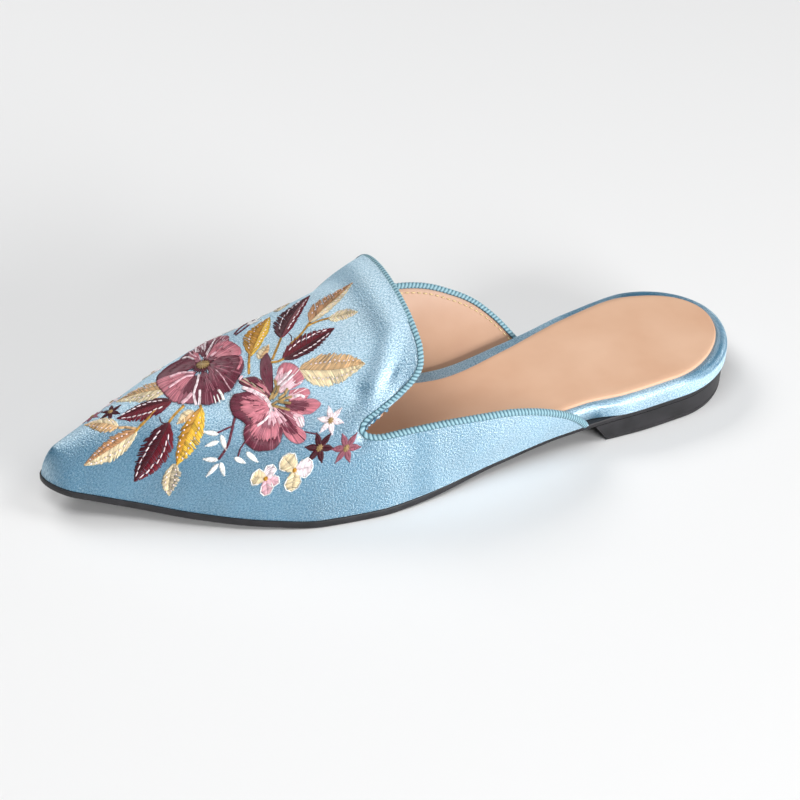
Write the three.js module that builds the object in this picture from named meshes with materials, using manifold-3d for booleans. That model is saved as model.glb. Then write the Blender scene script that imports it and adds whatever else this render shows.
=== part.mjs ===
// A pointed babouche slipper for the left foot: a flat backless mule with a rounded tongue.
// Millimetres, +X to the toe, +Y to the outer (lateral) side, +Z up, standing on heel and forefoot.
// Everything follows one last: a table of cross-sections along the foot, read by smooth tracks.
import * as THREE from "three";
import { mergeVertices } from "three/addons/utils/BufferGeometryUtils.js";
import Module from "manifold-3d";

// Driving sizes
const LENGTH = 268; // outsole, back of the heel to the tip of the toe
const BALL_WIDTH = 84; // the sole at its widest
const INSTEP_HEIGHT = 67; // crown of the tongue above the top of the outsole
const HEEL_LIFT = 8.2; // how far the heel seat stands above the forefoot
const TOE_SPRING = 10.5; // how far the toe tip rises off the floor
const HEEL_ROUND = 31; // length of the round back end of the sole
const TOE_ROUND = 9.5; // length of the round tip of the toe
const CROWN_ROUND = 6; // length over which the crown drops to the sole at the tip

// Walls, layers and clearances
const OUTSOLE_THICKNESS = 3;
const UPPER_WALL = 1.8; // cover and lining together
const BINDING_WIDTH = 2.8; // ribbon folded over the topline, measured along the wall
const BINDING_PROUD = 0.5; // how far the ribbon stands out of the wall on each side
const FOOTBED_THICKNESS = 7; // padded board, wrapped in cloth
const FOOTBED_TOE_THICKNESS = 3.2; // the same board where it is pared down under the toes
const SOCK_THICKNESS = 0.8;
const GAP = 0.3; // between pieces that lie on each other
const OUTSOLE_WELT = 0.6; // how far the outsole shows past the upper at the forefoot
const OUTSOLE_TUCK = 0.4; // how far it stays inside the wrapped footbed at the heel
const OUTSOLE_BEVEL = 0.8; // small turned-under edge at the tread
const FOOTBED_SLACK = 0.4; // between the footbed and the lining
const FOOTBED_LEAN = 0.5; // how far its edge leans with the lining, share
const FOOTBED_ROLL = 2.6; // round upper edge of the wrapped footbed
const FOOTBED_END = 0.955; // front end of the footbed, share of LENGTH
const SOCK_MARGIN = 3.0; // strip of wrapped footbed left bare round the sock
const SOCK_MARGIN_HEEL = 4.2; // the same strip behind the heel
const SOCK_MARGIN_SEAT = 5.4; // beside the medial seat
const SOCK_MARGIN_WAIST = 9.5; // beside the medial waist, where it is widest
const SOCK_END = 0.94; // front end of the sock, share of LENGTH
const FOOTBED_OVERHANG = 0.5; // how far the wrapped footbed stands past the outline at the heel
const HEEL_BLOCK_INSET = 0.7; // heel block inside the outline of the seat
const HEEL_BLOCK_TAPER = 1.1; // further inset at the floor
const HEEL_BREAST = 66.5; // front face of the heel block, from the back of the heel, at its top
const HEEL_BREAST_SLANT = 4.5; // how far that face leans back on its way to the floor
const HEEL_BREAST_SKEW = 1.7; // how far it lies further back on the outer side, and forward on the inner

// The last, a row for each section. at: share of LENGTH from the heel. lateral, medial: edge of the sole,
// and bodyLateral, bodyMedial: the wall's outward pull, all shares of BALL_WIDTH. lift: share of HEEL_LIFT.
// spring: share of TOE_SPRING. crown: top above the outsole, share of INSTEP_HEIGHT. fullness: how flat
// the top is, share of the body. sole: outsole thickness, share of OUTSOLE_THICKNESS.
// prettier-ignore
const LAST_COLUMNS =
  ["at", "lateral", "medial", "lift", "spring", "bodyLateral", "bodyMedial", "crown", "fullness", "sole"];
// prettier-ignore
const LAST_ROWS = [
  [0.00, 0.390, 0.340, 1.03, 0.00, 0.690, 0.606, 1.080, 0.74, 0.80],
  [0.10, 0.417, 0.336, 1.02, 0.00, 0.690, 0.606, 1.080, 0.74, 0.80],
  [0.20, 0.454, 0.276, 0.99, 0.00, 0.688, 0.606, 1.080, 0.74, 0.75],
  [0.30, 0.462, 0.202, 0.72, 0.00, 0.730, 0.630, 1.090, 0.74, 0.70],
  [0.40, 0.498, 0.160, 0.34, 0.00, 0.725, 0.635, 1.070, 0.74, 0.75],
  [0.50, 0.565, 0.250, 0.10, 0.00, 0.668, 0.562, 0.985, 0.74, 0.95],
  [0.54, 0.585, 0.330, 0.03, 0.00, 0.645, 0.515, 0.905, 0.74, 0.98],
  [0.58, 0.598, 0.392, 0.00, 0.00, 0.625, 0.485, 0.836, 0.73, 1.00],
  [0.66, 0.582, 0.424, 0.00, 0.00, 0.550, 0.474, 0.735, 0.69, 1.00],
  [0.74, 0.508, 0.400, 0.00, 0.12, 0.444, 0.438, 0.640, 0.65, 1.00],
  [0.82, 0.388, 0.314, 0.00, 0.30, 0.330, 0.316, 0.545, 0.60, 1.00],
  [0.90, 0.244, 0.207, 0.00, 0.56, 0.196, 0.187, 0.382, 0.55, 0.95],
  [0.96, 0.152, 0.125, 0.00, 0.81, 0.100, 0.095, 0.235, 0.52, 0.90],
  [1.00, 0.100, 0.072, 0.00, 1.00, 0.040, 0.030, 0.135, 0.50, 0.85],
];
const WALL_RISE = 0.6; // height of the wall's outward pull, share of the crown
const CROWN_SHIFT = 1.4; // how far the ridge of the vamp lies to the outer side at its middle

// The topline seen from the side, from the wing tip forward to the notch and back up round the tongue.
// at: share of LENGTH from the heel. height: above the floor, share of INSTEP_HEIGHT.
// prettier-ignore
const TOPLINE_LATERAL = [
  [0.256, 0.130], [0.279, 0.245], [0.302, 0.325], [0.333, 0.400], [0.364, 0.455], [0.400, 0.495],
  [0.450, 0.516], [0.500, 0.522], [0.548, 0.512], [0.580, 0.502], [0.596, 0.520], [0.592, 0.560],
  [0.570, 0.612], [0.545, 0.672], [0.523, 0.740], [0.508, 0.815], [0.502, 0.900],
];
// prettier-ignore
const TOPLINE_MEDIAL = [
  [0.266, 0.130], [0.283, 0.225], [0.304, 0.330], [0.330, 0.425], [0.360, 0.495], [0.400, 0.560],
  [0.450, 0.590], [0.500, 0.572], [0.545, 0.548], [0.568, 0.545], [0.580, 0.572], [0.572, 0.615],
  [0.553, 0.678], [0.530, 0.745], [0.510, 0.815], [0.502, 0.900],
];
const TONGUE_EDGE = 0.502; // back edge of the tongue over the crown, share of LENGTH
const WING_LEAN = 6; // how far the wing's end leans forward below the tables

// Fineness of the faceted solids
const STATIONS = 38;
const GIRTH_STEPS = 11;
const SOLE_STATIONS = 40;
const HEEL_STATIONS = 14;
const ROLL_STEPS = 3;
const TOPLINE_STEPS = 58;

const COLOURS = {
  satin: { color: 0x86b4cf, roughness: 0.42, metalness: 0 },
  ribbon: { color: 0x6f9db5, roughness: 0.6, metalness: 0 },
  leather: { color: 0xe0b598, roughness: 0.55, metalness: 0 },
  rubber: { color: 0x242226, roughness: 0.6, metalness: 0 },
};

const wasm = await Module();
wasm.setup();

// A smooth track through rows of [x, y], which never overshoots them and is flat between equal rows.
function smoothTrack(rows) {
  const secant = rows.slice(1).map(([x, y], i) => (y - rows[i][1]) / (x - rows[i][0]));
  const slope = rows.map((_, i) => {
    const before = secant[Math.max(i - 1, 0)];
    const after = secant[Math.min(i, secant.length - 1)];
    return before * after > 0 ? (2 * before * after) / (before + after) : 0;
  });
  return (x) => {
    const last = rows.length - 2;
    const i = Math.min(last, Math.max(0, rows.findIndex((row) => row[0] >= x) - 1));
    const span = rows[i + 1][0] - rows[i][0];
    const t = THREE.MathUtils.clamp((x - rows[i][0]) / span, 0, 1);
    const rise = t * t * (3 - 2 * t);
    const ends = t * (1 - t) * (1 - t) * slope[i] - t * t * (1 - t) * slope[i + 1];
    return rows[i][1] + rise * (rows[i + 1][1] - rows[i][1]) + ends * span;
  };
}

const last = Object.fromEntries(
  LAST_COLUMNS.slice(1).map((name, column) => [
    name,
    smoothTrack(LAST_ROWS.map((row) => [row[0], row[column + 1]])),
  ]),
);

// 0 at the end of a round nose and 1 where it runs out, on a quarter of an ellipse.
function roundEnd(share) {
  const rest = 1 - THREE.MathUtils.clamp(share, 0, 1);
  return Math.sqrt(1 - rest * rest);
}

// Height of the top of the outsole above the floor.
function seatHeight(at) {
  return OUTSOLE_THICKNESS + HEEL_LIFT * last.lift(at) + TOE_SPRING * last.spring(at);
}

// A point of the sole's plan outline, taken in by inset. side is 1 for lateral and -1 for medial.
function outlinePoint(at, side, inset) {
  const edge = BALL_WIDTH * (side > 0 ? last.lateral(at) : last.medial(at)) - inset;
  const ends = roundEnd((at * LENGTH) / HEEL_ROUND) * roundEnd(((1 - at) * LENGTH) / TOE_ROUND);
  return [inset + at * (LENGTH - 2 * inset), side * edge * ends];
}

// A point of the upper's surface grown outwards by grow: girth runs from 0 at the sole to 1 at the crown.
function upperPoint(at, side, girth, grow) {
  const tip = roundEnd(((1 - at) * LENGTH) / TOE_ROUND);
  const [x, edge] = outlinePoint(at, side, -grow);
  const body = (BALL_WIDTH * (side > 0 ? last.bodyLateral(at) : last.bodyMedial(at)) + grow) * tip;
  const crown = (INSTEP_HEIGHT * last.crown(at) + grow) * roundEnd(((1 - at) * LENGTH) / CROWN_ROUND);
  const ridge = CROWN_SHIFT * Math.sin(Math.PI * THREE.MathUtils.clamp((at - 0.3) / 0.7, 0, 1));
  const [low, wall, shoulder, top] = [
    (1 - girth) ** 3,
    3 * (1 - girth) ** 2 * girth,
    3 * (1 - girth) * girth ** 2,
    girth ** 3,
  ];
  const y = low * edge + side * (wall * body + shoulder * last.fullness(at) * body) + (shoulder + top) * ridge;
  const z = seatHeight(at) + GAP + (wall * WALL_RISE + shoulder + top) * (crown - GAP * tip);
  return [x, y, z];
}

// A closed solid from points and triangles: points that meet are merged, and collapsed triangles dropped.
function solidFrom(points, triangles) {
  const geometry = new THREE.BufferGeometry();
  geometry.setAttribute("position", new THREE.Float32BufferAttribute(points.flat(), 3));
  geometry.setIndex(triangles.flat());
  const merged = mergeVertices(geometry, 1e-4);
  const index = merged.index.array;
  const kept = [];
  for (let i = 0; i < index.length; i += 3) {
    const [a, b, c] = index.slice(i, i + 3);
    if (a !== b && b !== c && a !== c) kept.push(a, b, c);
  }
  const solid = new wasm.Manifold(
    new wasm.Mesh({
      numProp: 3,
      vertProperties: merged.attributes.position.array,
      triVerts: new Uint32Array(kept),
    }),
  );
  return solid;
}

// Joins equal rings of points, one after the other. The first and the last are closed by strips across,
// from each point to the one that lies over from it on the ring's other half.
function loft(rings) {
  const count = rings[0].length;
  const top = (rings.length - 1) * count;
  const triangles = [];
  for (let r = 0; r + 1 < rings.length; r++) {
    for (let i = 0; i < count; i++) {
      const [a, b] = [r * count + i, r * count + ((i + 1) % count)];
      const [c, d] = [a + count, b + count];
      triangles.push([a, b, d], [a, d, c]);
    }
  }
  for (let i = 0; i + 1 < count / 2; i++) {
    const [a, b, c, d] = [count - 1 - i, i, count - 2 - i, i + 1];
    triangles.push([a, c, b], [b, c, d]);
    triangles.push([top + a, top + b, top + c], [top + b, top + d, top + c]);
  }
  return solidFrom(rings.flat(), triangles);
}

// A layer of the sole, sampled at shares of the length. Each level is a function that gives the point
// of its edge at a share, on one side.
function soleLayer(shares, levels) {
  const rings = levels.map((level) => [
    ...shares.map((at) => level(at, -1)),
    ...shares.map((at) => level(at, 1)).reverse(),
  ]);
  return loft(rings);
}

// Level of a sole layer: the outline taken in by inset, at a height, both as functions of the share.
function plainLevel(inset, height) {
  return (at, side) => [...outlinePoint(at, side, inset(at)), height(at)];
}

// Shares of the length from start to end, closer together at the round ends.
function sharesAlong(start, end, count, roundAtEnd = true) {
  const turn = roundAtEnd ? Math.PI : Math.PI / 2;
  const full = 1 - Math.cos(turn);
  return Array.from(
    { length: count + 1 },
    (_, i) => start + ((end - start) * (1 - Math.cos((turn * i) / count))) / full,
  );
}

// The full form of the last above the sole, grown by grow, from the share start of the length to the toe,
// with straight walls going on down by skirt.
function lastForm(start, grow, skirt) {
  const rings = Array.from({ length: STATIONS + 1 }, (_, i) => {
    const at = start + (1 - start) * Math.sin((Math.PI / 2) * (i / STATIONS));
    const half = (side) => {
      const wall = Array.from({ length: GIRTH_STEPS + 1 }, (_, j) =>
        upperPoint(at, side, j / GIRTH_STEPS, grow),
      );
      const [x, y, z] = wall[0];
      return [[x, y, z - skirt], ...wall];
    };
    return [...half(1), ...half(-1).reverse()];
  });
  return loft(rings);
}

// The opening of one side as a prism: the topline seen from the side, moved into the wall by margin.
function openingCutter(table, side, margin) {
  const guide = table.map(([at, height]) => new THREE.Vector2(at * LENGTH, height * INSTEP_HEIGHT));
  const path = new THREE.SplineCurve(guide);
  const high = INSTEP_HEIGHT * 2;
  const edge = Array.from({ length: TOPLINE_STEPS + 1 }, (_, i) => {
    const point = path.getPointAt(i / TOPLINE_STEPS);
    const tangent = path.getTangentAt(i / TOPLINE_STEPS);
    return new THREE.Vector2(point.x + tangent.y * margin, point.y - tangent.x * margin);
  });
  const foot = new THREE.Vector2(edge[0].x - WING_LEAN, -high);
  const peak = new THREE.Vector2(TONGUE_EDGE * LENGTH + margin, high);
  const shape = new THREE.Shape([
    foot,
    ...edge,
    peak,
    new THREE.Vector2(-LENGTH, high),
    new THREE.Vector2(-LENGTH, -high),
  ]);
  const prism = new THREE.ExtrudeGeometry(shape, { depth: BALL_WIDTH, bevelEnabled: false });
  prism.deleteAttribute("normal");
  prism.deleteAttribute("uv");
  prism.rotateX(Math.PI / 2);
  if (side > 0) prism.translate(0, BALL_WIDTH, 0);
  const merged = mergeVertices(prism, 1e-4);
  return new wasm.Manifold(
    new wasm.Mesh({
      numProp: 3,
      vertProperties: merged.attributes.position.array,
      triVerts: new Uint32Array(merged.index.array),
    }),
  );
}

// Both sides of the opening, grown into the wall by margin.
function opening(margin) {
  return openingCutter(TOPLINE_LATERAL, 1, margin).add(openingCutter(TOPLINE_MEDIAL, -1, margin));
}

// A hollow wall from the last's own function: outer and inner are how far its faces stand off the last.
function upperShell(outer, inner) {
  const start = TOPLINE_LATERAL[0][0] - 0.03;
  return lastForm(start, outer, 0).subtract(lastForm(start - 0.03, inner, OUTSOLE_THICKNESS));
}

function makeUpper() {
  return upperShell(0, -UPPER_WALL).subtract(opening(BINDING_WIDTH + GAP));
}

function makeBinding() {
  return upperShell(BINDING_PROUD, -UPPER_WALL - BINDING_PROUD)
    .intersect(opening(BINDING_WIDTH))
    .subtract(opening(0));
}

// Underside of the outsole above the floor.
function treadHeight(at) {
  return seatHeight(at) - OUTSOLE_THICKNESS * last.sole(at);
}

function makeOutsole() {
  const forefoot = (at) => THREE.MathUtils.smoothstep(at, 0.38, 0.56);
  const edge = (at) => OUTSOLE_TUCK - (OUTSOLE_TUCK + OUTSOLE_WELT) * forefoot(at);
  return soleLayer(sharesAlong(0, 1, SOLE_STATIONS), [
    plainLevel((at) => edge(at) + OUTSOLE_BEVEL, treadHeight),
    plainLevel(edge, (at) => treadHeight(at) + OUTSOLE_BEVEL),
    plainLevel(edge, seatHeight),
  ]);
}

function makeHeel() {
  const front = HEEL_BREAST / LENGTH;
  const level = (inset, slant, height) => (at, side) => {
    const [x, y] = outlinePoint(at, side, inset);
    return [x - ((slant + side * HEEL_BREAST_SKEW) * at) / front, y, height(at)];
  };
  return soleLayer(sharesAlong(0, front, HEEL_STATIONS, false), [
    level(HEEL_BLOCK_INSET + HEEL_BLOCK_TAPER, HEEL_BREAST_SLANT, () => 0),
    level(HEEL_BLOCK_INSET, 0, (at) => treadHeight(at) - GAP),
  ]);
}

// Height of the footbed's top over the outsole: full under the foot, thin at the toe.
function footbedHeight(at) {
  const pared = THREE.MathUtils.smoothstep(at, 0.58, 0.92);
  return THREE.MathUtils.lerp(FOOTBED_THICKNESS, FOOTBED_TOE_THICKNESS, pared);
}

// Where the upper's surface, grown by grow, lies at a rise above the outsole.
function wallPoint(at, side, rise, grow) {
  let [low, high] = [0, 1];
  for (let i = 0; i < 24; i++) {
    const girth = (low + high) / 2;
    if (upperPoint(at, side, girth, grow)[2] < seatHeight(at) + rise) low = girth;
    else high = girth;
  }
  return upperPoint(at, side, low, grow);
}

// Edge of the footbed at a rise above the outsole, taken in by inset: upright at the heel, and inside
// the upper and leaning with it from the wings on.
function footbedEdge(at, side, rise, inset) {
  const wings = TOPLINE_LATERAL[0][0];
  const inside = THREE.MathUtils.smoothstep(at, wings - 0.055, wings - 0.005);
  const { lerp } = THREE.MathUtils;
  const depth = UPPER_WALL + BINDING_PROUD + FOOTBED_SLACK + inset;
  const outer = outlinePoint(at, side, inset - FOOTBED_OVERHANG);
  const inner = outlinePoint(at, side, depth);
  const lining = wallPoint(at, side, rise, -depth);
  const y = lerp(outer[1], lerp(inner[1], lining[1], FOOTBED_LEAN), inside);
  return [lerp(outer[0], inner[0], inside), y, seatHeight(at) + rise];
}

function makeFootbed() {
  const roll = Array.from({ length: ROLL_STEPS + 1 }, (_, i) => {
    const turn = (Math.PI / 2) * (i / ROLL_STEPS);
    const inward = FOOTBED_ROLL * (1 - Math.cos(turn));
    const below = 1 - Math.sin(turn);
    return (at, side) => {
      const depth = Math.min(FOOTBED_ROLL, footbedHeight(at) / 2) * below;
      return footbedEdge(at, side, footbedHeight(at) - depth, inward);
    };
  });
  return soleLayer(sharesAlong(0, FOOTBED_END, SOLE_STATIONS), [
    (at, side) => footbedEdge(at, side, GAP, GAP),
    ...roll,
  ]);
}

// How far the sock stops short of the footbed's edge: farthest along the medial waist.
function sockMargin(at, side) {
  const { lerp, smoothstep } = THREE.MathUtils;
  if (side > 0) return lerp(SOCK_MARGIN_HEEL, SOCK_MARGIN, smoothstep(at, 0.02, 0.12));
  const seat = lerp(SOCK_MARGIN_HEEL, SOCK_MARGIN_SEAT, smoothstep(at, 0.0, 0.08));
  const waist = lerp(seat, SOCK_MARGIN_WAIST, smoothstep(at, 0.12, 0.4));
  return lerp(waist, SOCK_MARGIN, smoothstep(at, 0.6, 0.8));
}

function makeSock() {
  const level = (lift) => (at, side) => {
    const [x, y, z] = footbedEdge(at, side, footbedHeight(at), sockMargin(at, side));
    return [x, y, z + lift];
  };
  return soleLayer(sharesAlong(0, SOCK_END, SOLE_STATIONS), [
    level(GAP),
    level(GAP + SOCK_THICKNESS),
  ]);
}

// A named mesh with its material from a solid.
function piece(name, solid, finish) {
  const { vertProperties, triVerts } = solid.getMesh();
  const geometry = new THREE.BufferGeometry();
  geometry.setAttribute("position", new THREE.BufferAttribute(vertProperties, 3));
  geometry.setIndex(new THREE.BufferAttribute(triVerts, 1));
  geometry.computeVertexNormals();
  const mesh = new THREE.Mesh(geometry, new THREE.MeshStandardMaterial(finish));
  mesh.name = name;
  return mesh;
}

const slipper = new THREE.Group();
slipper.add(
  piece("outsole", makeOutsole(), COLOURS.rubber),
  piece("heel", makeHeel(), COLOURS.rubber),
  piece("footbed", makeFootbed(), COLOURS.satin),
  piece("insole", makeSock(), COLOURS.leather),
  piece("upper", makeUpper(), COLOURS.satin),
  piece("binding", makeBinding(), COLOURS.ribbon),
);

// The origin is on the floor, under the middle of the whole slipper.
const bounds = new THREE.Box3().setFromObject(slipper);
const middle = bounds.getCenter(new THREE.Vector3());
slipper.position.set(-middle.x, -middle.y, -bounds.min.z);

export default slipper;
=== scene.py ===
"""A pointed satin mule for the left foot, with an embroidered vamp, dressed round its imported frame.

Every size is in millimetres until a mesh is written. The form of the foot is one table of sections, the
same one that the frame was made from, so each piece is worked out from it and needs no fitting.
"""

import logging
import math
from collections.abc import Callable, Sequence
from dataclasses import dataclass, field
from enum import Enum
from functools import cached_property

import bpy
import numpy as np
from mathutils import Matrix, Vector


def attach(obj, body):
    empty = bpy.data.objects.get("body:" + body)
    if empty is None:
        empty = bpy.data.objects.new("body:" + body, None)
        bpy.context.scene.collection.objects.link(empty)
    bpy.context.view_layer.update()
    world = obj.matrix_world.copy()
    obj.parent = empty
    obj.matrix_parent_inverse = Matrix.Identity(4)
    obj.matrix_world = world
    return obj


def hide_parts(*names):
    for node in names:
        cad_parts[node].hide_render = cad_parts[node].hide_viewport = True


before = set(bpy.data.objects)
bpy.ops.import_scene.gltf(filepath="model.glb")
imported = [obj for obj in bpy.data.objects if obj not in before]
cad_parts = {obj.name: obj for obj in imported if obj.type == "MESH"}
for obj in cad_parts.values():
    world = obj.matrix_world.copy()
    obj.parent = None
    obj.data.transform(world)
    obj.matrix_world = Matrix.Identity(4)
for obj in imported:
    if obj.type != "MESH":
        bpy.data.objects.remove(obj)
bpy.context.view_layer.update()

LOG = logging.getLogger("slipper")
MM = 0.001  # metres in a millimetre
WELD = 2e-6  # vertices nearer than this are one, metres
SLIVER = 1e-7  # faces narrower than this are dropped, metres
BODY = "root"

Array = np.ndarray
Piece = bpy.types.Object
Tree = bpy.types.NodeTree
Node = bpy.types.Node
Material = bpy.types.Material

# Sections of the last, heel to toe. All but the first column are shares of the named sizes of Last.
LAST_COLUMNS: tuple[str, ...] = (
    "at", "lateral", "medial", "lift", "spring", "body_lateral", "body_medial", "crown", "fullness", "sole",
)
LAST_ROWS: tuple[tuple[float, ...], ...] = (
    (0.00, 0.390, 0.340, 1.03, 0.00, 0.690, 0.606, 1.080, 0.74, 0.80),
    (0.10, 0.417, 0.336, 1.02, 0.00, 0.690, 0.606, 1.080, 0.74, 0.80),
    (0.20, 0.454, 0.276, 0.99, 0.00, 0.688, 0.606, 1.080, 0.74, 0.75),
    (0.30, 0.462, 0.202, 0.72, 0.00, 0.730, 0.630, 1.090, 0.74, 0.70),
    (0.40, 0.498, 0.160, 0.34, 0.00, 0.725, 0.635, 1.070, 0.74, 0.75),
    (0.50, 0.565, 0.250, 0.10, 0.00, 0.668, 0.562, 0.985, 0.74, 0.95),
    (0.54, 0.585, 0.330, 0.03, 0.00, 0.645, 0.515, 0.905, 0.74, 0.98),
    (0.58, 0.598, 0.392, 0.00, 0.00, 0.625, 0.485, 0.836, 0.73, 1.00),
    (0.66, 0.582, 0.424, 0.00, 0.00, 0.550, 0.474, 0.735, 0.69, 1.00),
    (0.74, 0.508, 0.400, 0.00, 0.12, 0.444, 0.438, 0.640, 0.65, 1.00),
    (0.82, 0.388, 0.314, 0.00, 0.30, 0.330, 0.316, 0.545, 0.60, 1.00),
    (0.90, 0.244, 0.207, 0.00, 0.56, 0.196, 0.187, 0.382, 0.55, 0.95),
    (0.96, 0.152, 0.125, 0.00, 0.81, 0.100, 0.095, 0.235, 0.52, 0.90),
    (1.00, 0.100, 0.072, 0.00, 1.00, 0.040, 0.030, 0.135, 0.50, 0.85),
)
# The topline seen from each side: share of the length, and height as a share of the instep height.
TOPLINE_LATERAL: tuple[tuple[float, float], ...] = (
    (0.256, 0.130), (0.279, 0.245), (0.302, 0.325), (0.333, 0.400), (0.364, 0.455), (0.400, 0.495),
    (0.450, 0.516), (0.500, 0.522), (0.548, 0.512), (0.580, 0.502), (0.596, 0.520), (0.592, 0.560),
    (0.570, 0.612), (0.545, 0.672), (0.523, 0.740), (0.508, 0.815), (0.502, 0.900),
)
TOPLINE_MEDIAL: tuple[tuple[float, float], ...] = (
    (0.266, 0.130), (0.283, 0.225), (0.304, 0.330), (0.330, 0.425), (0.360, 0.495), (0.400, 0.560),
    (0.450, 0.590), (0.500, 0.572), (0.545, 0.548), (0.568, 0.545), (0.580, 0.572), (0.572, 0.615),
    (0.553, 0.678), (0.530, 0.745), (0.510, 0.815), (0.502, 0.900),
)


class Dye(Enum):
    """Dyes of the embroidery threads."""

    PLUM = "#6A2A3C"
    MAUVE = "#9C5C6B"
    ROSE = "#CB7C89"
    BLUSH = "#E7BBC5"
    PEARL = "#F1E1E5"
    WHITE = "#F8F6F2"
    WINE = "#4A0C1C"
    GARNET = "#6E1024"
    TAN = "#D8B385"
    SALMON = "#C29268"
    CREAM = "#E9D7B3"
    STONE = "#BFB29A"
    KHAKI = "#A98C5A"
    OCHRE = "#B88A36"
    HONEY = "#EFC145"
    MUSTARD = "#C28C2A"


# Dyes of the metallic threads, whose brightness is spread wider from thread to thread as painted glints.
METALLIC: tuple[Dye, ...] = (
    Dye.TAN, Dye.SALMON, Dye.CREAM, Dye.STONE, Dye.KHAKI, Dye.OCHRE, Dye.HONEY, Dye.MUSTARD,
)


class Mark(Enum):
    """What is stitched over the halves of a leaf."""

    NONE = 0
    DOTS = 1
    VEINS = 2


Spot = tuple[float, float]  # on the cloth: x from the heel and girth from the crown line, mm


@dataclass(frozen=True)
class Crease:
    """A soft trough pressed into the cloth, with a low ridge on its right."""

    start: Spot
    end: Spot
    depth: float
    width: float


@dataclass(frozen=True)
class Petal:
    """A petal of a large flower: where its stitches meet, its rim, and its dyes from the root out."""

    root: Spot
    rim: tuple[Spot, ...]
    dyes: tuple[Dye, ...]
    streak: Dye | None = None


@dataclass(frozen=True)
class Blade:
    """A leaf or a small petal: base, tip, widths to the left and right of its rib, and their dyes."""

    base: Spot
    tip: Spot
    left: float
    right: float
    dyes: tuple[Dye, ...]
    bow: float = 0.0  # how far the rib bends to the left
    mark: Mark = Mark.NONE
    belly: float = 0.45  # share of the length where it is widest
    blunt: float = 0.8  # 1 for sharp ends, lower for round ones


@dataclass(frozen=True)
class Strand:
    """A single line of thread, for a stem, a streak or a stamen."""

    path: tuple[Spot, ...]
    dye: Dye
    width: float = 0.5


@dataclass(frozen=True)
class Star:
    """A small flower of six narrow petals round a knot."""

    centre: Spot
    tip: Spot
    dye: Dye


CREASES: tuple[Crease, ...] = (
    Crease((144.3, 36.5), (150.1, 41.9), 0.75, 2.2),
    Crease((143.7, 44.6), (147.8, 47.5), 0.45, 1.8),
    Crease((158.1, 49.1), (161.2, 55.6), 0.6, 2.4),
    Crease((158.8, 33.8), (158.3, 41.5), 0.5, 3.6),
    Crease((140.0, -30.0), (147.0, -38.0), 0.6, 2.6),
    Crease((156.0, -46.0), (160.0, -55.0), 0.5, 2.6),
)
LEAVES: tuple[Blade, ...] = (
    Blade((165.0, 0.0), (145.5, -7.0), 6.2, 3.0, (Dye.SALMON, Dye.CREAM), 1.2, Mark.DOTS),
    Blade((159.0, 3.0), (149.5, 8.0), 3.0, 2.8, (Dye.CREAM, Dye.CREAM), 0.5, Mark.DOTS),
    Blade((176.5, 1.0), (158.5, -19.0), 6.0, 3.2, (Dye.WINE, Dye.GARNET), 0.8, Mark.VEINS),
    Blade((179.5, 11.5), (159.0, 9.0), 5.8, 4.0, (Dye.GARNET, Dye.WINE), 0.0, Mark.VEINS),
    Blade((176.0, 19.0), (154.5, 29.5), 6.5, 5.8, (Dye.TAN, Dye.CREAM), -1.2, Mark.DOTS),
    Blade((189.0, 3.5), (175.0, -16.5), 5.6, 3.0, (Dye.MUSTARD, Dye.HONEY), 0.3, Mark.DOTS, belly=0.52),
    Blade((187.0, 6.5), (181.5, 1.5), 2.5, 1.9, (Dye.CREAM, Dye.TAN)),
    Blade((220.5, 3.5), (237.5, -5.0), 4.4, 4.8, (Dye.CREAM, Dye.TAN), -0.4, Mark.DOTS),
    Blade((221.0, 9.0), (240.0, 4.0), 4.4, 2.8, (Dye.GARNET, Dye.WINE), -0.4, Mark.VEINS),
    Blade((240.5, 7.0), (250.5, -2.0), 3.4, 2.2, (Dye.TAN, Dye.CREAM), -0.5, Mark.DOTS),
    Blade((235.0, 12.5), (254.5, 12.5), 4.2, 3.7, (Dye.CREAM, Dye.SALMON), 0.3, Mark.DOTS),
    Blade((224.0, 16.0), (239.0, 28.5), 6.6, 5.5, (Dye.GARNET, Dye.WINE), 0.4, Mark.VEINS, belly=0.5),
    Blade((212.0, 16.5), (224.5, 31.5), 5.4, 3.2, (Dye.HONEY, Dye.MUSTARD), -1.0, Mark.DOTS, belly=0.5),
    Blade((215.0, 16.5), (221.5, 18.0), 1.8, 2.5, (Dye.TAN, Dye.CREAM)),
    Blade((225.5, 30.5), (228.5, 40.5), 3.8, 2.6, (Dye.STONE, Dye.CREAM), -0.8, Mark.DOTS),
    Blade((171.0, -19.5), (163.5, -31.5), 2.6, 2.8, (Dye.STONE, Dye.CREAM), 0.3, Mark.DOTS),
)
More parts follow.
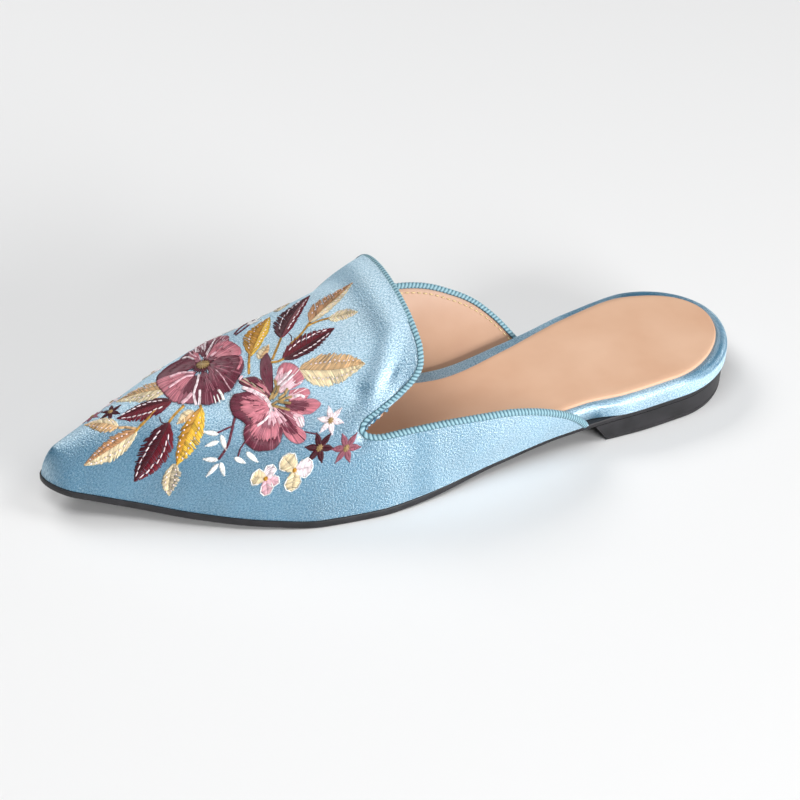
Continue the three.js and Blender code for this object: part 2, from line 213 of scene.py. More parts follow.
STEMS: tuple[Strand, ...] = (
    Strand(((175.0, 6.5), (170.0, 4.0), (165.0, 0.0)), Dye.OCHRE, 0.8),
    Strand(((167.0, 1.5), (163.0, 1.5), (158.5, 3.0)), Dye.OCHRE, 0.8),
    Strand(((176.5, 1.0), (179.5, 5.0), (183.0, 9.5)), Dye.OCHRE, 0.8),
    Strand(((184.0, 10.5), (181.5, 11.5), (179.0, 11.5)), Dye.OCHRE, 0.8),
    Strand(((189.0, 2.0), (191.0, 7.0), (192.5, 11.5)), Dye.OCHRE, 0.8),
    Strand(((226.5, 9.0), (230.0, 10.5), (233.5, 11.5), (236.0, 12.5)), Dye.OCHRE, 0.8),
    Strand(((235.0, 11.5), (238.0, 9.0), (240.5, 7.5)), Dye.TAN, 0.7),
    Strand(((217.5, 13.0), (221.5, 14.5), (224.0, 16.0)), Dye.OCHRE, 0.9),
    Strand(((212.0, 13.5), (212.3, 17.5)), Dye.OCHRE, 0.8),
    Strand(((173.5, 0.5), (173.2, 3.0), (174.0, 5.0)), Dye.WINE, 0.4),
    Strand(((226.5, 12.5), (226.5, 14.5), (225.0, 16.0)), Dye.WINE, 0.4),
    Strand(((202.0, 25.0), (204.0, 28.5), (206.0, 32.5), (208.5, 35.0), (210.5, 36.5)), Dye.PLUM, 0.7),
    Strand(((204.0, 27.5), (207.0, 27.5), (209.5, 27.5)), Dye.PLUM, 0.6),
    Strand(((200.5, 34.5), (202.5, 36.0), (204.0, 38.5)), Dye.PLUM, 0.6),
    Strand(((180.5, 41.0), (178.5, 42.5), (176.5, 44.0)), Dye.PLUM, 0.6),
    Strand(((189.0, -14.0), (185.5, -16.5), (182.0, -19.5)), Dye.PLUM, 0.7),
    Strand(((189.0, -15.5), (185.5, -20.5), (181.5, -25.0), (177.0, -29.0)), Dye.PLUM, 0.7),
)
PANSY: tuple[Petal, ...] = (
    Petal((205.5, -4.0), ((203.0, -19.5), (206.0, -19.0), (209.0, -16.5), (211.0, -13.5), (213.5, -9.0)),
          (Dye.MAUVE, Dye.ROSE, Dye.PLUM), Dye.BLUSH),
    Petal((204.0, -4.0), ((193.0, -10.0), (191.0, -15.0), (191.5, -19.5), (193.5, -22.5), (197.5, -23.5),
                          (200.5, -22.0), (203.5, -19.0)), (Dye.PLUM, Dye.PLUM, Dye.MAUVE), Dye.PEARL),
    Petal((208.0, -2.5), ((207.0, -7.0), (207.5, -12.0), (210.5, -13.0), (215.0, -12.5), (219.0, -9.5),
                          (222.0, -6.0), (222.5, -3.0), (218.5, -1.5)), (Dye.PLUM, Dye.PLUM, Dye.PLUM)),
    Petal((203.5, -3.0), ((202.0, -6.5), (199.0, -10.0), (196.5, -13.0), (194.0, -13.0), (192.0, -10.5),
                          (191.0, -6.5), (190.5, -3.0), (191.5, 0.5), (194.5, 1.0)),
          (Dye.PLUM, Dye.ROSE, Dye.ROSE), Dye.MAUVE),
    Petal((209.0, 0.5), ((211.5, 3.5), (213.5, 6.0), (216.5, 8.5), (219.5, 10.5), (221.0, 10.0),
                         (222.0, 7.5), (223.0, 3.5), (223.5, -1.0), (222.5, -3.5), (218.5, -3.0)),
          (Dye.MAUVE, Dye.ROSE, Dye.ROSE), Dye.MAUVE),
    Petal((209.5, 2.5), ((210.5, 6.5), (212.5, 10.0), (213.0, 13.5), (215.0, 14.0), (217.5, 12.5),
                         (219.5, 11.5), (219.0, 10.0), (216.0, 6.5)), (Dye.PLUM, Dye.PLUM, Dye.MAUVE)),
    Petal((206.5, 2.0), ((202.5, 14.0), (204.0, 17.0), (207.0, 17.5), (210.0, 17.0), (212.0, 15.5),
                         (213.5, 13.5), (213.0, 10.5), (211.0, 7.0)),
          (Dye.PLUM, Dye.PLUM, Dye.PLUM), Dye.MAUVE),
    Petal((204.0, 0.0), ((198.0, -2.0), (193.5, 0.5), (192.0, 4.0), (193.0, 8.0), (195.5, 11.0),
                         (198.0, 13.5), (200.5, 15.5), (203.0, 15.0), (204.5, 11.5), (205.5, 6.0)),
          (Dye.PLUM, Dye.PLUM, Dye.PLUM), Dye.MAUVE),
)
PANSY_EYE: Spot = (205.5, -1.5)
PANSY_RINGS: tuple[tuple[float, Dye, float], ...] = (  # size, dye and layer of each knot at the eye
    (4.8, Dye.PLUM, 1.2), (3.6, Dye.PLUM, 1.6), (2.8, Dye.KHAKI, 5.2),
)
PANSY_STREAKS: tuple[Strand, ...] = (
    Strand(((208.5, 3.0), (210.5, 7.0), (213.0, 10.5), (213.5, 15.0)), Dye.PEARL, 1.0),
    Strand(((210.5, 10.0), (211.5, 13.0), (212.5, 15.5)), Dye.PEARL, 0.8),
    Strand(((204.5, 13.0), (204.0, 15.0), (204.0, 17.5)), Dye.WHITE, 0.9),
    Strand(((205.5, 14.5), (205.5, 16.0), (205.5, 18.0)), Dye.WHITE),
    Strand(((206.7, 14.5), (206.8, 16.0), (206.9, 17.5)), Dye.WHITE),
    Strand(((210.0, -11.5), (208.5, -11.5), (207.2, -7.0)), Dye.PEARL, 0.9),
    Strand(((203.0, -18.0), (204.5, -12.0)), Dye.PEARL, 0.7),
    Strand(((201.0, -16.5), (202.0, -12.0)), Dye.PEARL, 0.6),
    Strand(((202.5, 2.0), (199.0, 4.0), (196.5, 6.5)), Dye.MAUVE),
    Strand(((202.5, 4.0), (201.5, 8.0), (201.0, 12.5), (200.5, 15.0)), Dye.BLUSH),
    Strand(((201.5, -4.5), (199.0, -6.0)), Dye.BLUSH, 0.9),
    Strand(((195.5, 8.0), (193.0, 5.0), (192.5, 2.0)), Dye.ROSE, 1.0),
    Strand(((196.5, 12.5), (195.0, 11.5)), Dye.BLUSH, 0.8),
    Strand(((210.0, 1.0), (214.0, -1.5), (218.0, -1.5)), Dye.BLUSH, 0.9),
    Strand(((210.5, 2.5), (213.0, 1.5), (216.5, 2.5), (220.0, 3.5)), Dye.BLUSH, 0.7),
    Strand(((213.5, 10.0), (216.0, 11.5), (218.0, 12.0)), Dye.BLUSH, 1.1),
    Strand(((202.5, -7.0), (199.0, -12.0), (195.5, -17.5)), Dye.PEARL, 0.5),
    Strand(((201.0, -12.5), (199.5, -17.0), (198.0, -21.5)), Dye.PEARL, 0.5),
    Strand(((206.0, -8.0), (206.5, -12.0), (206.0, -16.5)), Dye.BLUSH, 0.6),
)
LILY: tuple[Petal, ...] = (
    Petal((187.5, 23.0), ((186.5, 18.5), (184.5, 13.5), (183.5, 9.0), (183.5, 4.5), (186.0, 6.5),
                          (187.5, 9.0), (189.0, 14.0), (189.0, 19.5)), (Dye.PLUM, Dye.PLUM)),
    Petal((188.5, 24.5), ((188.5, 20.0), (189.0, 17.0), (191.0, 13.5), (193.0, 12.5), (196.0, 12.0),
                          (197.0, 13.0), (195.0, 16.5), (192.5, 19.0), (190.5, 22.0)),
          (Dye.PLUM, Dye.ROSE, Dye.PLUM), Dye.STONE),
    Petal((185.5, 24.0), ((185.0, 20.0), (183.5, 16.5), (182.0, 14.0), (180.0, 13.0), (178.0, 14.0),
                          (176.5, 16.0), (175.5, 19.0), (175.0, 22.0), (176.0, 24.0), (179.0, 24.5)),
          (Dye.BLUSH, Dye.BLUSH, Dye.ROSE), Dye.PEARL),
    Petal((183.0, 27.0), ((181.0, 25.0), (179.0, 25.5), (176.5, 26.5), (175.0, 28.0), (175.0, 29.5),
                          (176.5, 30.5), (179.5, 30.0), (182.0, 29.0)), (Dye.BLUSH, Dye.ROSE), Dye.PEARL),
    Petal((185.0, 31.0), ((183.0, 33.5), (181.0, 34.0), (179.5, 36.0), (179.5, 38.0), (180.5, 39.5),
                          (183.0, 38.0)), (Dye.MAUVE, Dye.BLUSH), Dye.PEARL),
    Petal((184.5, 29.0), ((182.0, 28.5), (179.5, 29.0), (176.5, 31.0), (174.0, 32.5), (172.5, 35.0),
                          (174.0, 36.0), (176.5, 36.5), (179.0, 35.5), (182.0, 34.0), (183.5, 31.5)),
          (Dye.PLUM, Dye.PLUM, Dye.ROSE), Dye.MAUVE),
    Petal((187.5, 32.0), ((184.0, 37.5), (182.5, 38.5), (180.5, 41.0), (180.0, 43.0), (181.0, 44.5),
                          (183.5, 44.0), (185.5, 42.0), (187.0, 39.0), (187.0, 36.5)),
          (Dye.PLUM, Dye.PLUM, Dye.ROSE), Dye.MAUVE),
    Petal((188.0, 28.0), ((185.5, 30.0), (183.5, 32.5), (182.5, 35.5), (182.0, 38.5), (184.5, 38.5),
                          (186.5, 37.0), (187.5, 33.5)), (Dye.PLUM, Dye.MAUVE), Dye.BLUSH),
    Petal((189.5, 28.5), ((187.5, 34.0), (187.0, 36.5), (188.5, 39.5), (189.5, 41.0), (192.0, 42.0),
                          (195.0, 41.0), (198.0, 39.5), (200.5, 36.0), (201.0, 34.0), (200.5, 31.0),
                          (198.5, 29.0), (195.5, 30.0)),
          (Dye.BLUSH, Dye.MAUVE, Dye.ROSE, Dye.PLUM), Dye.MAUVE),
    Petal((189.5, 27.0), ((190.0, 23.5), (191.5, 20.5), (194.5, 18.5), (198.0, 17.5), (200.5, 17.0),
                          (202.5, 19.0), (203.0, 22.0), (202.5, 24.5), (200.5, 27.0), (199.0, 29.5),
                          (196.5, 31.0), (193.0, 31.0)), (Dye.ROSE, Dye.ROSE, Dye.ROSE, Dye.PLUM), Dye.PLUM),
)
LILY_STREAKS: tuple[Strand, ...] = (
    Strand(((196.5, 16.0), (194.0, 18.5), (192.0, 21.0), (190.0, 24.0), (189.5, 27.5)), Dye.PEARL, 1.1),
    Strand(((195.5, 17.5), (193.0, 20.5), (191.0, 24.0)), Dye.BLUSH, 0.8),
    Strand(((189.0, 27.5), (190.5, 30.0), (193.0, 31.0), (195.5, 31.5)), Dye.PEARL, 0.7),
    Strand(((188.5, 28.0), (187.5, 30.5), (185.5, 34.5)), Dye.BLUSH, 0.7),
    Strand(((189.5, 29.0), (189.5, 31.5), (189.5, 33.5)), Dye.BLUSH, 1.1),
    Strand(((188.5, 29.5), (188.0, 32.0), (187.5, 34.5)), Dye.BLUSH, 1.1),
    Strand(((190.2, 29.0), (190.8, 31.0), (191.5, 33.0)), Dye.BLUSH, 1.0),
    Strand(((193.5, 14.5), (192.0, 17.0), (190.0, 20.0)), Dye.WINE, 0.6),
    Strand(((193.0, 15.5), (192.0, 18.0)), Dye.STONE),
    Strand(((185.0, 21.0), (181.5, 19.5), (178.5, 18.0)), Dye.PEARL, 1.0),
    Strand(((185.0, 19.0), (183.5, 17.5), (181.0, 15.5)), Dye.BLUSH, 0.8),
    Strand(((184.0, 22.0), (181.0, 21.0), (178.5, 20.0)), Dye.PEARL, 0.9),
    Strand(((180.5, 28.0), (178.5, 28.5), (177.5, 30.0)), Dye.PEARL, 1.0),
    Strand(((181.0, 35.5), (180.5, 37.5), (180.5, 39.0)), Dye.PEARL, 1.1),
    Strand(((200.0, 18.0), (198.0, 18.5), (196.0, 20.0)), Dye.PLUM, 0.8),
    Strand(((199.0, 20.0), (197.0, 20.5), (195.0, 22.5)), Dye.PLUM, 0.8),
    Strand(((186.0, 32.5), (184.5, 35.5), (183.5, 38.5)), Dye.PLUM, 0.7),
    Strand(((189.0, 25.0), (187.0, 23.0), (185.0, 20.5), (185.0, 18.5)), Dye.KHAKI, 0.9),
    Strand(((188.0, 25.0), (185.5, 23.5), (184.5, 21.5)), Dye.KHAKI, 0.7),
    Strand(((189.0, 27.0), (187.0, 26.5), (185.0, 28.0), (182.5, 29.5)), Dye.KHAKI, 0.8),
    Strand(((188.5, 27.5), (186.5, 29.0), (183.5, 31.5)), Dye.KHAKI, 0.7),
    Strand(((186.0, 26.0), (183.5, 25.5), (182.0, 25.0), (182.0, 24.0)), Dye.KHAKI, 0.8),
    Strand(((186.0, 27.0), (183.5, 27.0), (181.5, 27.5)), Dye.KHAKI, 0.8),
)
STARS: tuple[Star, ...] = (
    Star((171.0, 42.0), (170.5, 37.0), Dye.PEARL),
    Star((176.5, 49.0), (176.5, 43.5), Dye.WINE),
    Star((167.5, 54.0), (168.0, 48.5), Dye.MAUVE),
    Star((241.0, -0.5), (242.5, 3.2), Dye.WINE),
    Star((246.5, -5.5), (247.5, -9.0), Dye.MAUVE),
    Star((238.0, -9.5), (239.5, -13.0), Dye.PEARL),
    Star((179.5, -34.0), (180.5, -37.5), Dye.PEARL),
    Star((169.5, -42.0), (168.0, -38.5), Dye.MAUVE),
    Star((177.5, -46.0), (176.0, -42.0), Dye.WINE),
)
# Four-petalled blossoms: the first spot is the centre, then the tip, half width and dye of each petal.
BLOSSOMS: tuple[tuple[Spot, tuple[tuple[Spot, float, Dye], ...]], ...] = (
    ((186.0, 52.3), (((189.0, 46.0), 3.3, Dye.CREAM), ((188.0, 59.0), 3.0, Dye.CREAM),
                     ((180.0, 54.0), 3.4, Dye.PEARL))),
    ((196.0, 50.5), (((200.5, 47.5), 2.8, Dye.CREAM), ((193.0, 47.0), 2.4, Dye.PEARL),
                     ((192.0, 54.0), 2.0, Dye.BLUSH), ((196.3, 56.5), 2.3, Dye.BLUSH))),
    ((190.0, -31.0), (((185.5, -38.5), 3.0, Dye.CREAM), ((196.0, -28.0), 2.8, Dye.CREAM),
                      ((186.5, -26.0), 2.8, Dye.PEARL))),
    ((220.0, -17.0), (((224.0, -17.5), 2.6, Dye.CREAM), ((221.5, -21.5), 2.4, Dye.CREAM),
                      ((216.5, -19.5), 2.2, Dye.BLUSH), ((218.5, -13.5), 2.0, Dye.PEARL))),
)
# Buds, each from its stalk to its tip.
BUDS: tuple[tuple[Spot, Spot], ...] = (
    ((209.0, 28.0), (213.5, 25.0)), ((209.5, 30.5), (214.0, 30.0)), ((208.0, 29.0), (207.5, 34.5)),
    ((211.0, 36.5), (215.5, 34.0)), ((211.0, 38.0), (215.5, 40.5)), ((210.0, 38.0), (209.5, 43.0)),
    ((205.0, 38.5), (202.0, 41.8)), ((200.8, 38.5), (197.8, 43.5)), ((182.0, -19.5), (177.5, -19.0)),
    ((182.0, -19.5), (176.0, -24.5)), ((182.0, -20.0), (179.5, -26.0)), ((176.5, -28.5), (171.5, -29.0)),
    ((176.0, -30.0), (169.5, -34.5)), ((176.5, -30.0), (174.5, -35.0)),
)


class Side(Enum):
    """The two sides of a left shoe, by the sign of y."""

    LATERAL = 1
    MEDIAL = -1


# Numbers


def smooth_track(xs: Array, ys: Array, x: Array) -> Array:
    """Reads a table of rows as one smooth curve that never overshoots its rows.

    Args:
        xs: places of the rows, rising.
        ys: value of each row.
        x: places to read at.

    Returns:
        The value at each place.
    """
    secant = np.diff(ys) / np.diff(xs)
    before = np.concatenate([secant[:1], secant])
    after = np.concatenate([secant, secant[-1:]])
    same_way = before * after > 0
    slope = np.where(same_way, 2 * before * after / np.where(same_way, before + after, 1.0), 0.0)
    i = np.clip(np.searchsorted(xs, x, side="left") - 1, 0, len(xs) - 2)
    span = xs[i + 1] - xs[i]
    t = np.clip((x - xs[i]) / span, 0.0, 1.0)
    rise = t * t * (3 - 2 * t)
    ends = t * (1 - t) ** 2 * slope[i] - t * t * (1 - t) * slope[i + 1]
    return ys[i] + rise * (ys[i + 1] - ys[i]) + ends * span


def round_end(share: Array) -> Array:
    """Height of a quarter circle at a share of its radius from the tip."""
    return np.sqrt(1 - (1 - np.clip(share, 0.0, 1.0)) ** 2)


def ease(x: Array, low: float, high: float) -> Array:
    """Smooth step from 0 at low to 1 at high."""
    t = np.clip((x - low) / (high - low), 0.0, 1.0)
    return t * t * (3 - 2 * t)


def mix(a: Array, b: Array, share: Array) -> Array:
    """Straight blend from a to b."""
    return a + (b - a) * share


def unit(vectors: Array) -> Array:
    """The vectors at length one."""
    return vectors / np.maximum(np.linalg.norm(vectors, axis=-1, keepdims=True), 1e-9)


def shares_along(start: float, end: float, count: int, both_round: bool = True) -> Array:
    """Shares of the length that crowd together at a round end.

    Args:
        start: first share.
        end: last share.
        count: number of steps.
        both_round: whether the far end is round as well.

    Returns:
        count + 1 shares.
    """
    turn = np.linspace(0, math.pi if both_round else math.pi / 2, count + 1)
    return start + (end - start) * (1 - np.cos(turn)) / (1 - math.cos(turn[-1]))


def catmull_rom(points: Array, per_span: int) -> Array:
    """A uniform Catmull-Rom curve through points.

    Args:
        points: rows of coordinates.
        per_span: samples on each span.

    Returns:
        The sampled curve, its last point included.
    """
    padded = np.concatenate([points[:1], points, points[-1:]])
    t = (np.arange(per_span) / per_span)[:, None]
    spans = []
    for a, b, c, d in zip(padded, padded[1:], padded[2:], padded[3:]):
        lead, trail = (c - a) / 2, (d - b) / 2
        spans.append(
            (2 * b - 2 * c + lead + trail) * t**3 + (3 * c - 3 * b - 2 * lead - trail) * t * t + lead * t + b
        )
    return np.concatenate([*spans, points[-1:]])


def read_along(spots: Array, reach: Array, values: Array) -> Array:
    """Reads a row of vectors at distances along it.

    Args:
        spots: the distances, of any shape.
        reach: the distance of each vector of the row.
        values: the vectors.

    Returns:
        The vectors at the spots, on a last axis.
    """
    return np.stack([np.interp(spots, reach, values[:, k]) for k in range(values.shape[1])], axis=-1)


def along(points: Array) -> Array:
    """Distance from the first point of a path to each of its points."""
    steps = np.linalg.norm(np.diff(points, axis=0), axis=1)
    return np.concatenate([[0.0], np.cumsum(steps)])


# The last


@dataclass(frozen=True)
class Last:
    """The form that the whole shoe is made over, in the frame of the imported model."""

    length: float = 268.0
    ball_width: float = 84.0
    instep: float = 67.0
    heel_lift: float = 8.2
    toe_spring: float = 10.5
    heel_round: float = 31.0
    toe_round: float = 9.5
    crown_round: float = 6.0
    sole: float = 3.0
    wall_rise: float = 0.6
    crown_shift: float = 1.4
    gap: float = 0.3  # between pieces that lie on each other
    middle: tuple[float, float] = (134.05, 7.257)  # from the last's own heel point to the frame's origin

    def column(self, name: str, at: Array) -> Array:
        """One column of the table of sections, read at shares of the length."""
        rows = np.array(LAST_ROWS)
        return smooth_track(rows[:, 0], rows[:, LAST_COLUMNS.index(name)], np.asarray(at, float))

    def seat(self, at: Array) -> Array:
        """Height of the outsole's top over the floor."""
        lift, spring = self.column("lift", at), self.column("spring", at)
        return self.sole + self.heel_lift * lift + self.toe_spring * spring

    def tread(self, at: Array) -> Array:
        """Height of the outsole's underside over the floor."""
        return self.seat(at) - self.sole * self.column("sole", at)

    def outline(self, at: Array, side: Array, inset: Array) -> tuple[Array, Array]:
        """A point of the sole's plan outline.

        Args:
            at: share of the length.
            side: positive for lateral, negative for medial.
            inset: how far inside the outline, mm.

        Returns:
            x and y, before the shift to the frame's origin.
        """
        lateral = np.asarray(side) > 0
        width = np.where(lateral, self.column("lateral", at), self.column("medial", at))
        back = round_end(at * self.length / self.heel_round)
        ends = back * round_end((1 - at) * self.length / self.toe_round)
        y = np.where(lateral, 1, -1) * (self.ball_width * width - inset) * ends
        return inset + at * (self.length - 2 * inset), y

    def to_frame(self, x: Array, y: Array, z: Array) -> Array:
        """Places in the frame from coordinates of the last."""
        return np.stack(np.broadcast_arrays(x - self.middle[0], y - self.middle[1], z), axis=-1)

    def skin(self, at: Array, around: Array, grow: Array = 0.0) -> Array:
        """Places on the surface of the last.

        Args:
            at: share of the length.
            around: 0 on the crown, 1 at the lateral feather edge, -1 at the medial one.
            grow: how far the surface is grown outwards, mm.

        Returns:
            Places with a last axis of three.
        """
        at, around = np.broadcast_arrays(np.asarray(at, float), np.asarray(around, float))
        side = np.where(around >= 0, 1.0, -1.0)
        rise = 1 - np.abs(around)
        tip = round_end((1 - at) * self.length / self.toe_round)
        x, edge = self.outline(at, side, -np.asarray(grow))
        body = np.where(side > 0, self.column("body_lateral", at), self.column("body_medial", at))
        body = (self.ball_width * body + grow) * tip
        crown = self.instep * self.column("crown", at) + grow
        crown = crown * round_end((1 - at) * self.length / self.crown_round)
        ridge = self.crown_shift * np.sin(np.pi * np.clip((at - 0.3) / 0.7, 0.0, 1.0))
        low, wall = (1 - rise) ** 3, 3 * (1 - rise) ** 2 * rise
        shoulder, top = 3 * (1 - rise) * rise**2, rise**3
        y = low * edge + side * (wall * body + shoulder * self.column("fullness", at) * body)
        y = y + (shoulder + top) * ridge
        z = self.seat(at) + self.gap + (wall * self.wall_rise + shoulder + top) * (crown - self.gap * tip)
        return self.to_frame(x, y, z)

    def normal(self, at: Array, around: Array) -> Array:
        """Outward directions of the surface at the places of skin.

        Args:
            at: shares of the length.
            around: places round the section, -1 to 1.

        Returns:
            The directions.
        """
        at = np.clip(at, 0.0, 0.9985)
        around = np.where(np.abs(around) < 2e-3, 2e-3, around)
        step = 1e-3
        forward = self.skin(at + step, around) - self.skin(at - step, around)
        round_it = self.skin(at, around + step) - self.skin(at, around - step)
        return unit(np.cross(forward, round_it))

    def around_at(self, at: Array, side: int, height: Array, grow: float = 0.0) -> Array:
        """Finds where round the section the surface has a height.

        Args:
            at: share of the length.
            side: 1 for lateral, -1 for medial.
            height: height over the floor, mm.
            grow: how far the surface is grown, mm.

        Returns:
            The signed place round the section.
        """
        low, high = np.zeros(len(at)), np.ones(len(at))
        for _ in range(30):
            middle = (low + high) / 2
            above = self.skin(at, side * np.maximum(middle, 1e-6), grow)[:, 2] > height
            low, high = np.where(above, middle, low), np.where(above, high, middle)
        return side * low


@dataclass(frozen=True)
class SkinMap:
    """The surface of the last as a cloth map: x along the shoe and girth round it from the crown."""

    last: Last = field(default_factory=Last)
    stations: int = 420
    around_steps: int = 300
    pattern_start: float = 0.48
    pattern_reach: float = 92.0
    pattern_step: float = 0.5
    tongue_x: float = 134.5
    corner_girth: float = 24.0  # where the tongue's side edges start to run forward
    corner_lean: float = 0.75
    roll_reach: float = 7.5
    roll_width: float = 5.5
    roll_height: float = 1.3

    @cached_property
    def girths(self) -> tuple[Array, Array, Array]:
        """Stations, places round the section, and the girth from the crown to each.

        Returns:
            The three, the girth as stations by places, mm.
        """
        ats = np.linspace(0.2, 1.0, self.stations)
        around = np.linspace(-1, 1, 2 * self.around_steps + 1)
        places = self.last.skin(ats[:, None], around[None, :])
        steps = np.linalg.norm(np.diff(places, axis=1), axis=2)
        girth = np.concatenate([np.zeros((len(ats), 1)), np.cumsum(steps, axis=1)], axis=1)
        return ats, around, girth - girth[:, self.around_steps : self.around_steps + 1]

    def cloth(self, at: Array, around: Array) -> Array:
        """Cloth coordinates of places on the skin.

        Args:
            at: share of the length.
            around: place round the section.

        Returns:
            x from the heel and girth from the crown, mm, on a last axis of two.
        """
        ats, rounds, girth = self.girths
        row = np.clip((at - ats[0]) / (ats[-1] - ats[0]) * (len(ats) - 1), 0, len(ats) - 1.001)
        column = np.clip((around + 1) / 2 * (len(rounds) - 1), 0, len(rounds) - 1.001)
        i, j = row.astype(int), column.astype(int)
        a, b = row - i, column - j
        near = mix(girth[i, j], girth[i, j + 1], b)
        far = mix(girth[i + 1, j], girth[i + 1, j + 1], b)
        return np.stack([at * self.last.length, mix(near, far, a)], axis=-1)

    def relief(self, cloth: Array) -> Array:
        """How far the cloth stands out from the last: the roll at the tongue's edge and the creases.

        Args:
            cloth: x from the heel and girth from the crown, mm, on a last axis of two.

        Returns:
            The heights, mm.
        """
        x, girth = cloth[..., 0], cloth[..., 1]
        behind = x - self.tongue_x - self.corner_lean * np.maximum(np.abs(girth) - self.corner_girth, 0.0)
        roll = np.exp(-(((behind - self.roll_reach) / self.roll_width) ** 2))
        height = self.roll_height * roll * (1 - ease(np.abs(girth), 36.0, 50.0))
        for crease in CREASES:
            start, end = np.array(crease.start), np.array(crease.end)
            run = end - start
            share = (((cloth - start) * run).sum(-1) / (run @ run)).clip(0.0, 1.0)
            away = cloth - start - share[..., None] * run
            across = (away @ np.array([-run[1], run[0]])) / np.linalg.norm(run)
            far = np.linalg.norm(away, axis=-1) / crease.width
            taper = 0.25 + 0.75 * np.sin(math.pi * share)
            height -= crease.depth * taper * np.exp(-(far**2)) * (1 - 0.9 * across / crease.width)
        return height

    def dressed(self, at: Array, around: Array, grow: float = 0.0) -> Array:
        """Places of the cloth, with its relief, over places of the last grown by so much."""
        raised = self.relief(self.cloth(at, around))[..., None]
        return self.last.skin(at, around, grow) + raised * self.last.normal(at, around)

    @cached_property
    def pattern_table(self) -> tuple[Array, Array]:
        """Places and directions over the vamp on an even grid of x and girth.

        Returns:
            The places and the directions, stations by girths.
        """
        ats, around, girth = self.girths
        keep = ats >= self.pattern_start
        reach = np.arange(-self.pattern_reach, self.pattern_reach + 1e-6, self.pattern_step)
        round_at = np.array([np.interp(reach, g, around) for g in girth[keep]])
        at = np.repeat(ats[keep][:, None], len(reach), axis=1)
        return self.dressed(at, round_at), self.last.normal(at, round_at)

    def on_vamp(self, cloth: Array) -> tuple[Array, Array]:
        """Places and outward directions of points of the cloth.

        Args:
            cloth: x from the heel and girth from the crown, mm, on a last axis of two.

        Returns:
            The places and the directions.
        """
        places, normals = self.pattern_table
        first = self.girths[0][self.girths[0] >= self.pattern_start][0]
        rows, columns = places.shape[:2]
        row = (cloth[..., 0] / self.last.length - first) / (1 - first) * (rows - 1)
        column = (cloth[..., 1] + self.pattern_reach) / self.pattern_step
        row, column = np.clip(row, 0, rows - 1.001), np.clip(column, 0, columns - 1.001)
        i, j = row.astype(int), column.astype(int)
        a, b = (row - i)[..., None], (column - j)[..., None]

        def read(table: Array) -> Array:
            """Reads a table between its rows and columns."""
            return mix(mix(table[i, j], table[i, j + 1], b), mix(table[i + 1, j], table[i + 1, j + 1], b), a)

        return read(places), unit(read(normals))


@dataclass(frozen=True)
class Topline:
    """The edge of the opening, from the lateral wing over the tongue to the medial wing."""

    last: Last = field(default_factory=Last)
    tongue_edge: float = 0.502
    wing_step: float = 1.3
    notch_step: float = 0.6
    back_step: float = 0.8
    rail_step: float = 0.25

    def half(self, side: Side) -> tuple[Array, int, int]:
        """One side's edge, from the feather edge up to the crown.

        Args:
            side: which side.

        Returns:
            Rows of share and place round the section, the index of the notch's deepest point, and the
            index of the tongue's corner.
        """
        table = np.array(TOPLINE_LATERAL if side is Side.LATERAL else TOPLINE_MEDIAL)
        curve = catmull_rom(table, 60)
        around = self.last.around_at(curve[:, 0], side.value, curve[:, 1] * self.last.instep)
        on_form = np.abs(around) < 0.9999
        first = int(np.argmax(on_form))
        edge = np.stack([curve[first:, 0], around[first:]], axis=1)
        back = np.linspace(1, 0, 160)[1:, None] * edge[-1:, 1:]
        edge = np.concatenate([edge, np.concatenate([np.full_like(back, self.tongue_edge), back], axis=1)])
        edge[0, 1] = side.value
        corner = len(curve) - first - 1
        notch = int(np.argmax(edge[:corner, 0]))
        return edge, notch, corner

    @cached_property
    def samples(self) -> dict[str, Array]:
        """Even samples of the whole edge.

        Returns:
            at and around of each sample, and end_at and end_around, where the sample's line over the
            form comes down: the feather edge for the sides, the toe's tip for the tongue's back edge.
        """
        rows = []
        for side in Side:
            edge, notch, corner = self.half(side)
            reach = along(self.last.skin(edge[:, 0], edge[:, 1]))
            stops = ((0, notch, self.wing_step), (notch, corner, self.notch_step),
                     (corner, -1, self.back_step))
            picked = []
            for low, high, step in stops:
                count = max(2, round((reach[high] - reach[low]) / step))
                spots = np.linspace(reach[low], reach[high], count, endpoint=high == -1)
                picked.append(spots)
            spots = np.concatenate(picked)
            at, around = np.interp(spots, reach, edge[:, 0]), np.interp(spots, reach, edge[:, 1])
            turn = np.clip((spots - reach[notch]) / (reach[corner] - reach[notch]), 0.0, 1.0)
            notch_at = edge[notch, 0]
            end_at = np.where(turn > 0, notch_at + (1 - notch_at) * np.sin(math.pi / 2 * turn), at)
            end_around = np.where(spots >= reach[corner], around / abs(edge[corner, 1]), side.value)
            rows.append(np.stack([at, around, end_at, end_around], axis=1))
        whole = np.concatenate([rows[0], rows[1][::-1][1:]])
        return dict(zip(("at", "around", "end_at", "end_around"), whole.T))

    @cached_property
    def rail(self) -> dict[str, Array]:
        """The edge as a rail: place, direction along it, out of the form, and into the cloth.

        Returns:
            Those four, and the distance along the edge as spot, by name.
        """
        edge = []
        for side in Side:
            half = self.half(side)[0]
            edge.append(half if side is Side.LATERAL else half[::-1][1:])
        whole = np.concatenate(edge)
        place = self.last.skin(whole[:, 0], whole[:, 1])
        out = self.last.normal(whole[:, 0], whole[:, 1])
        spot = along(place)
        even = np.arange(0, spot[-1], self.rail_step)

        place, out = read_along(even, spot, place), unit(read_along(even, spot, out))
        forward = unit(np.gradient(place, axis=0))
        out = unit(out - (out * forward).sum(1, keepdims=True) * forward)
        into = np.cross(out, forward)
        return {"spot": even, "place": place, "forward": forward, "out": out, "into": into}


# Mesh tools

THREAD_SHARES: Array = np.array([0.0, 0.14, 0.5, 0.86, 1.0])


def clear_selection() -> None:
    """Deselects every object, the frame's own nodes included."""
    bpy.ops.object.select_all(action="DESELECT")


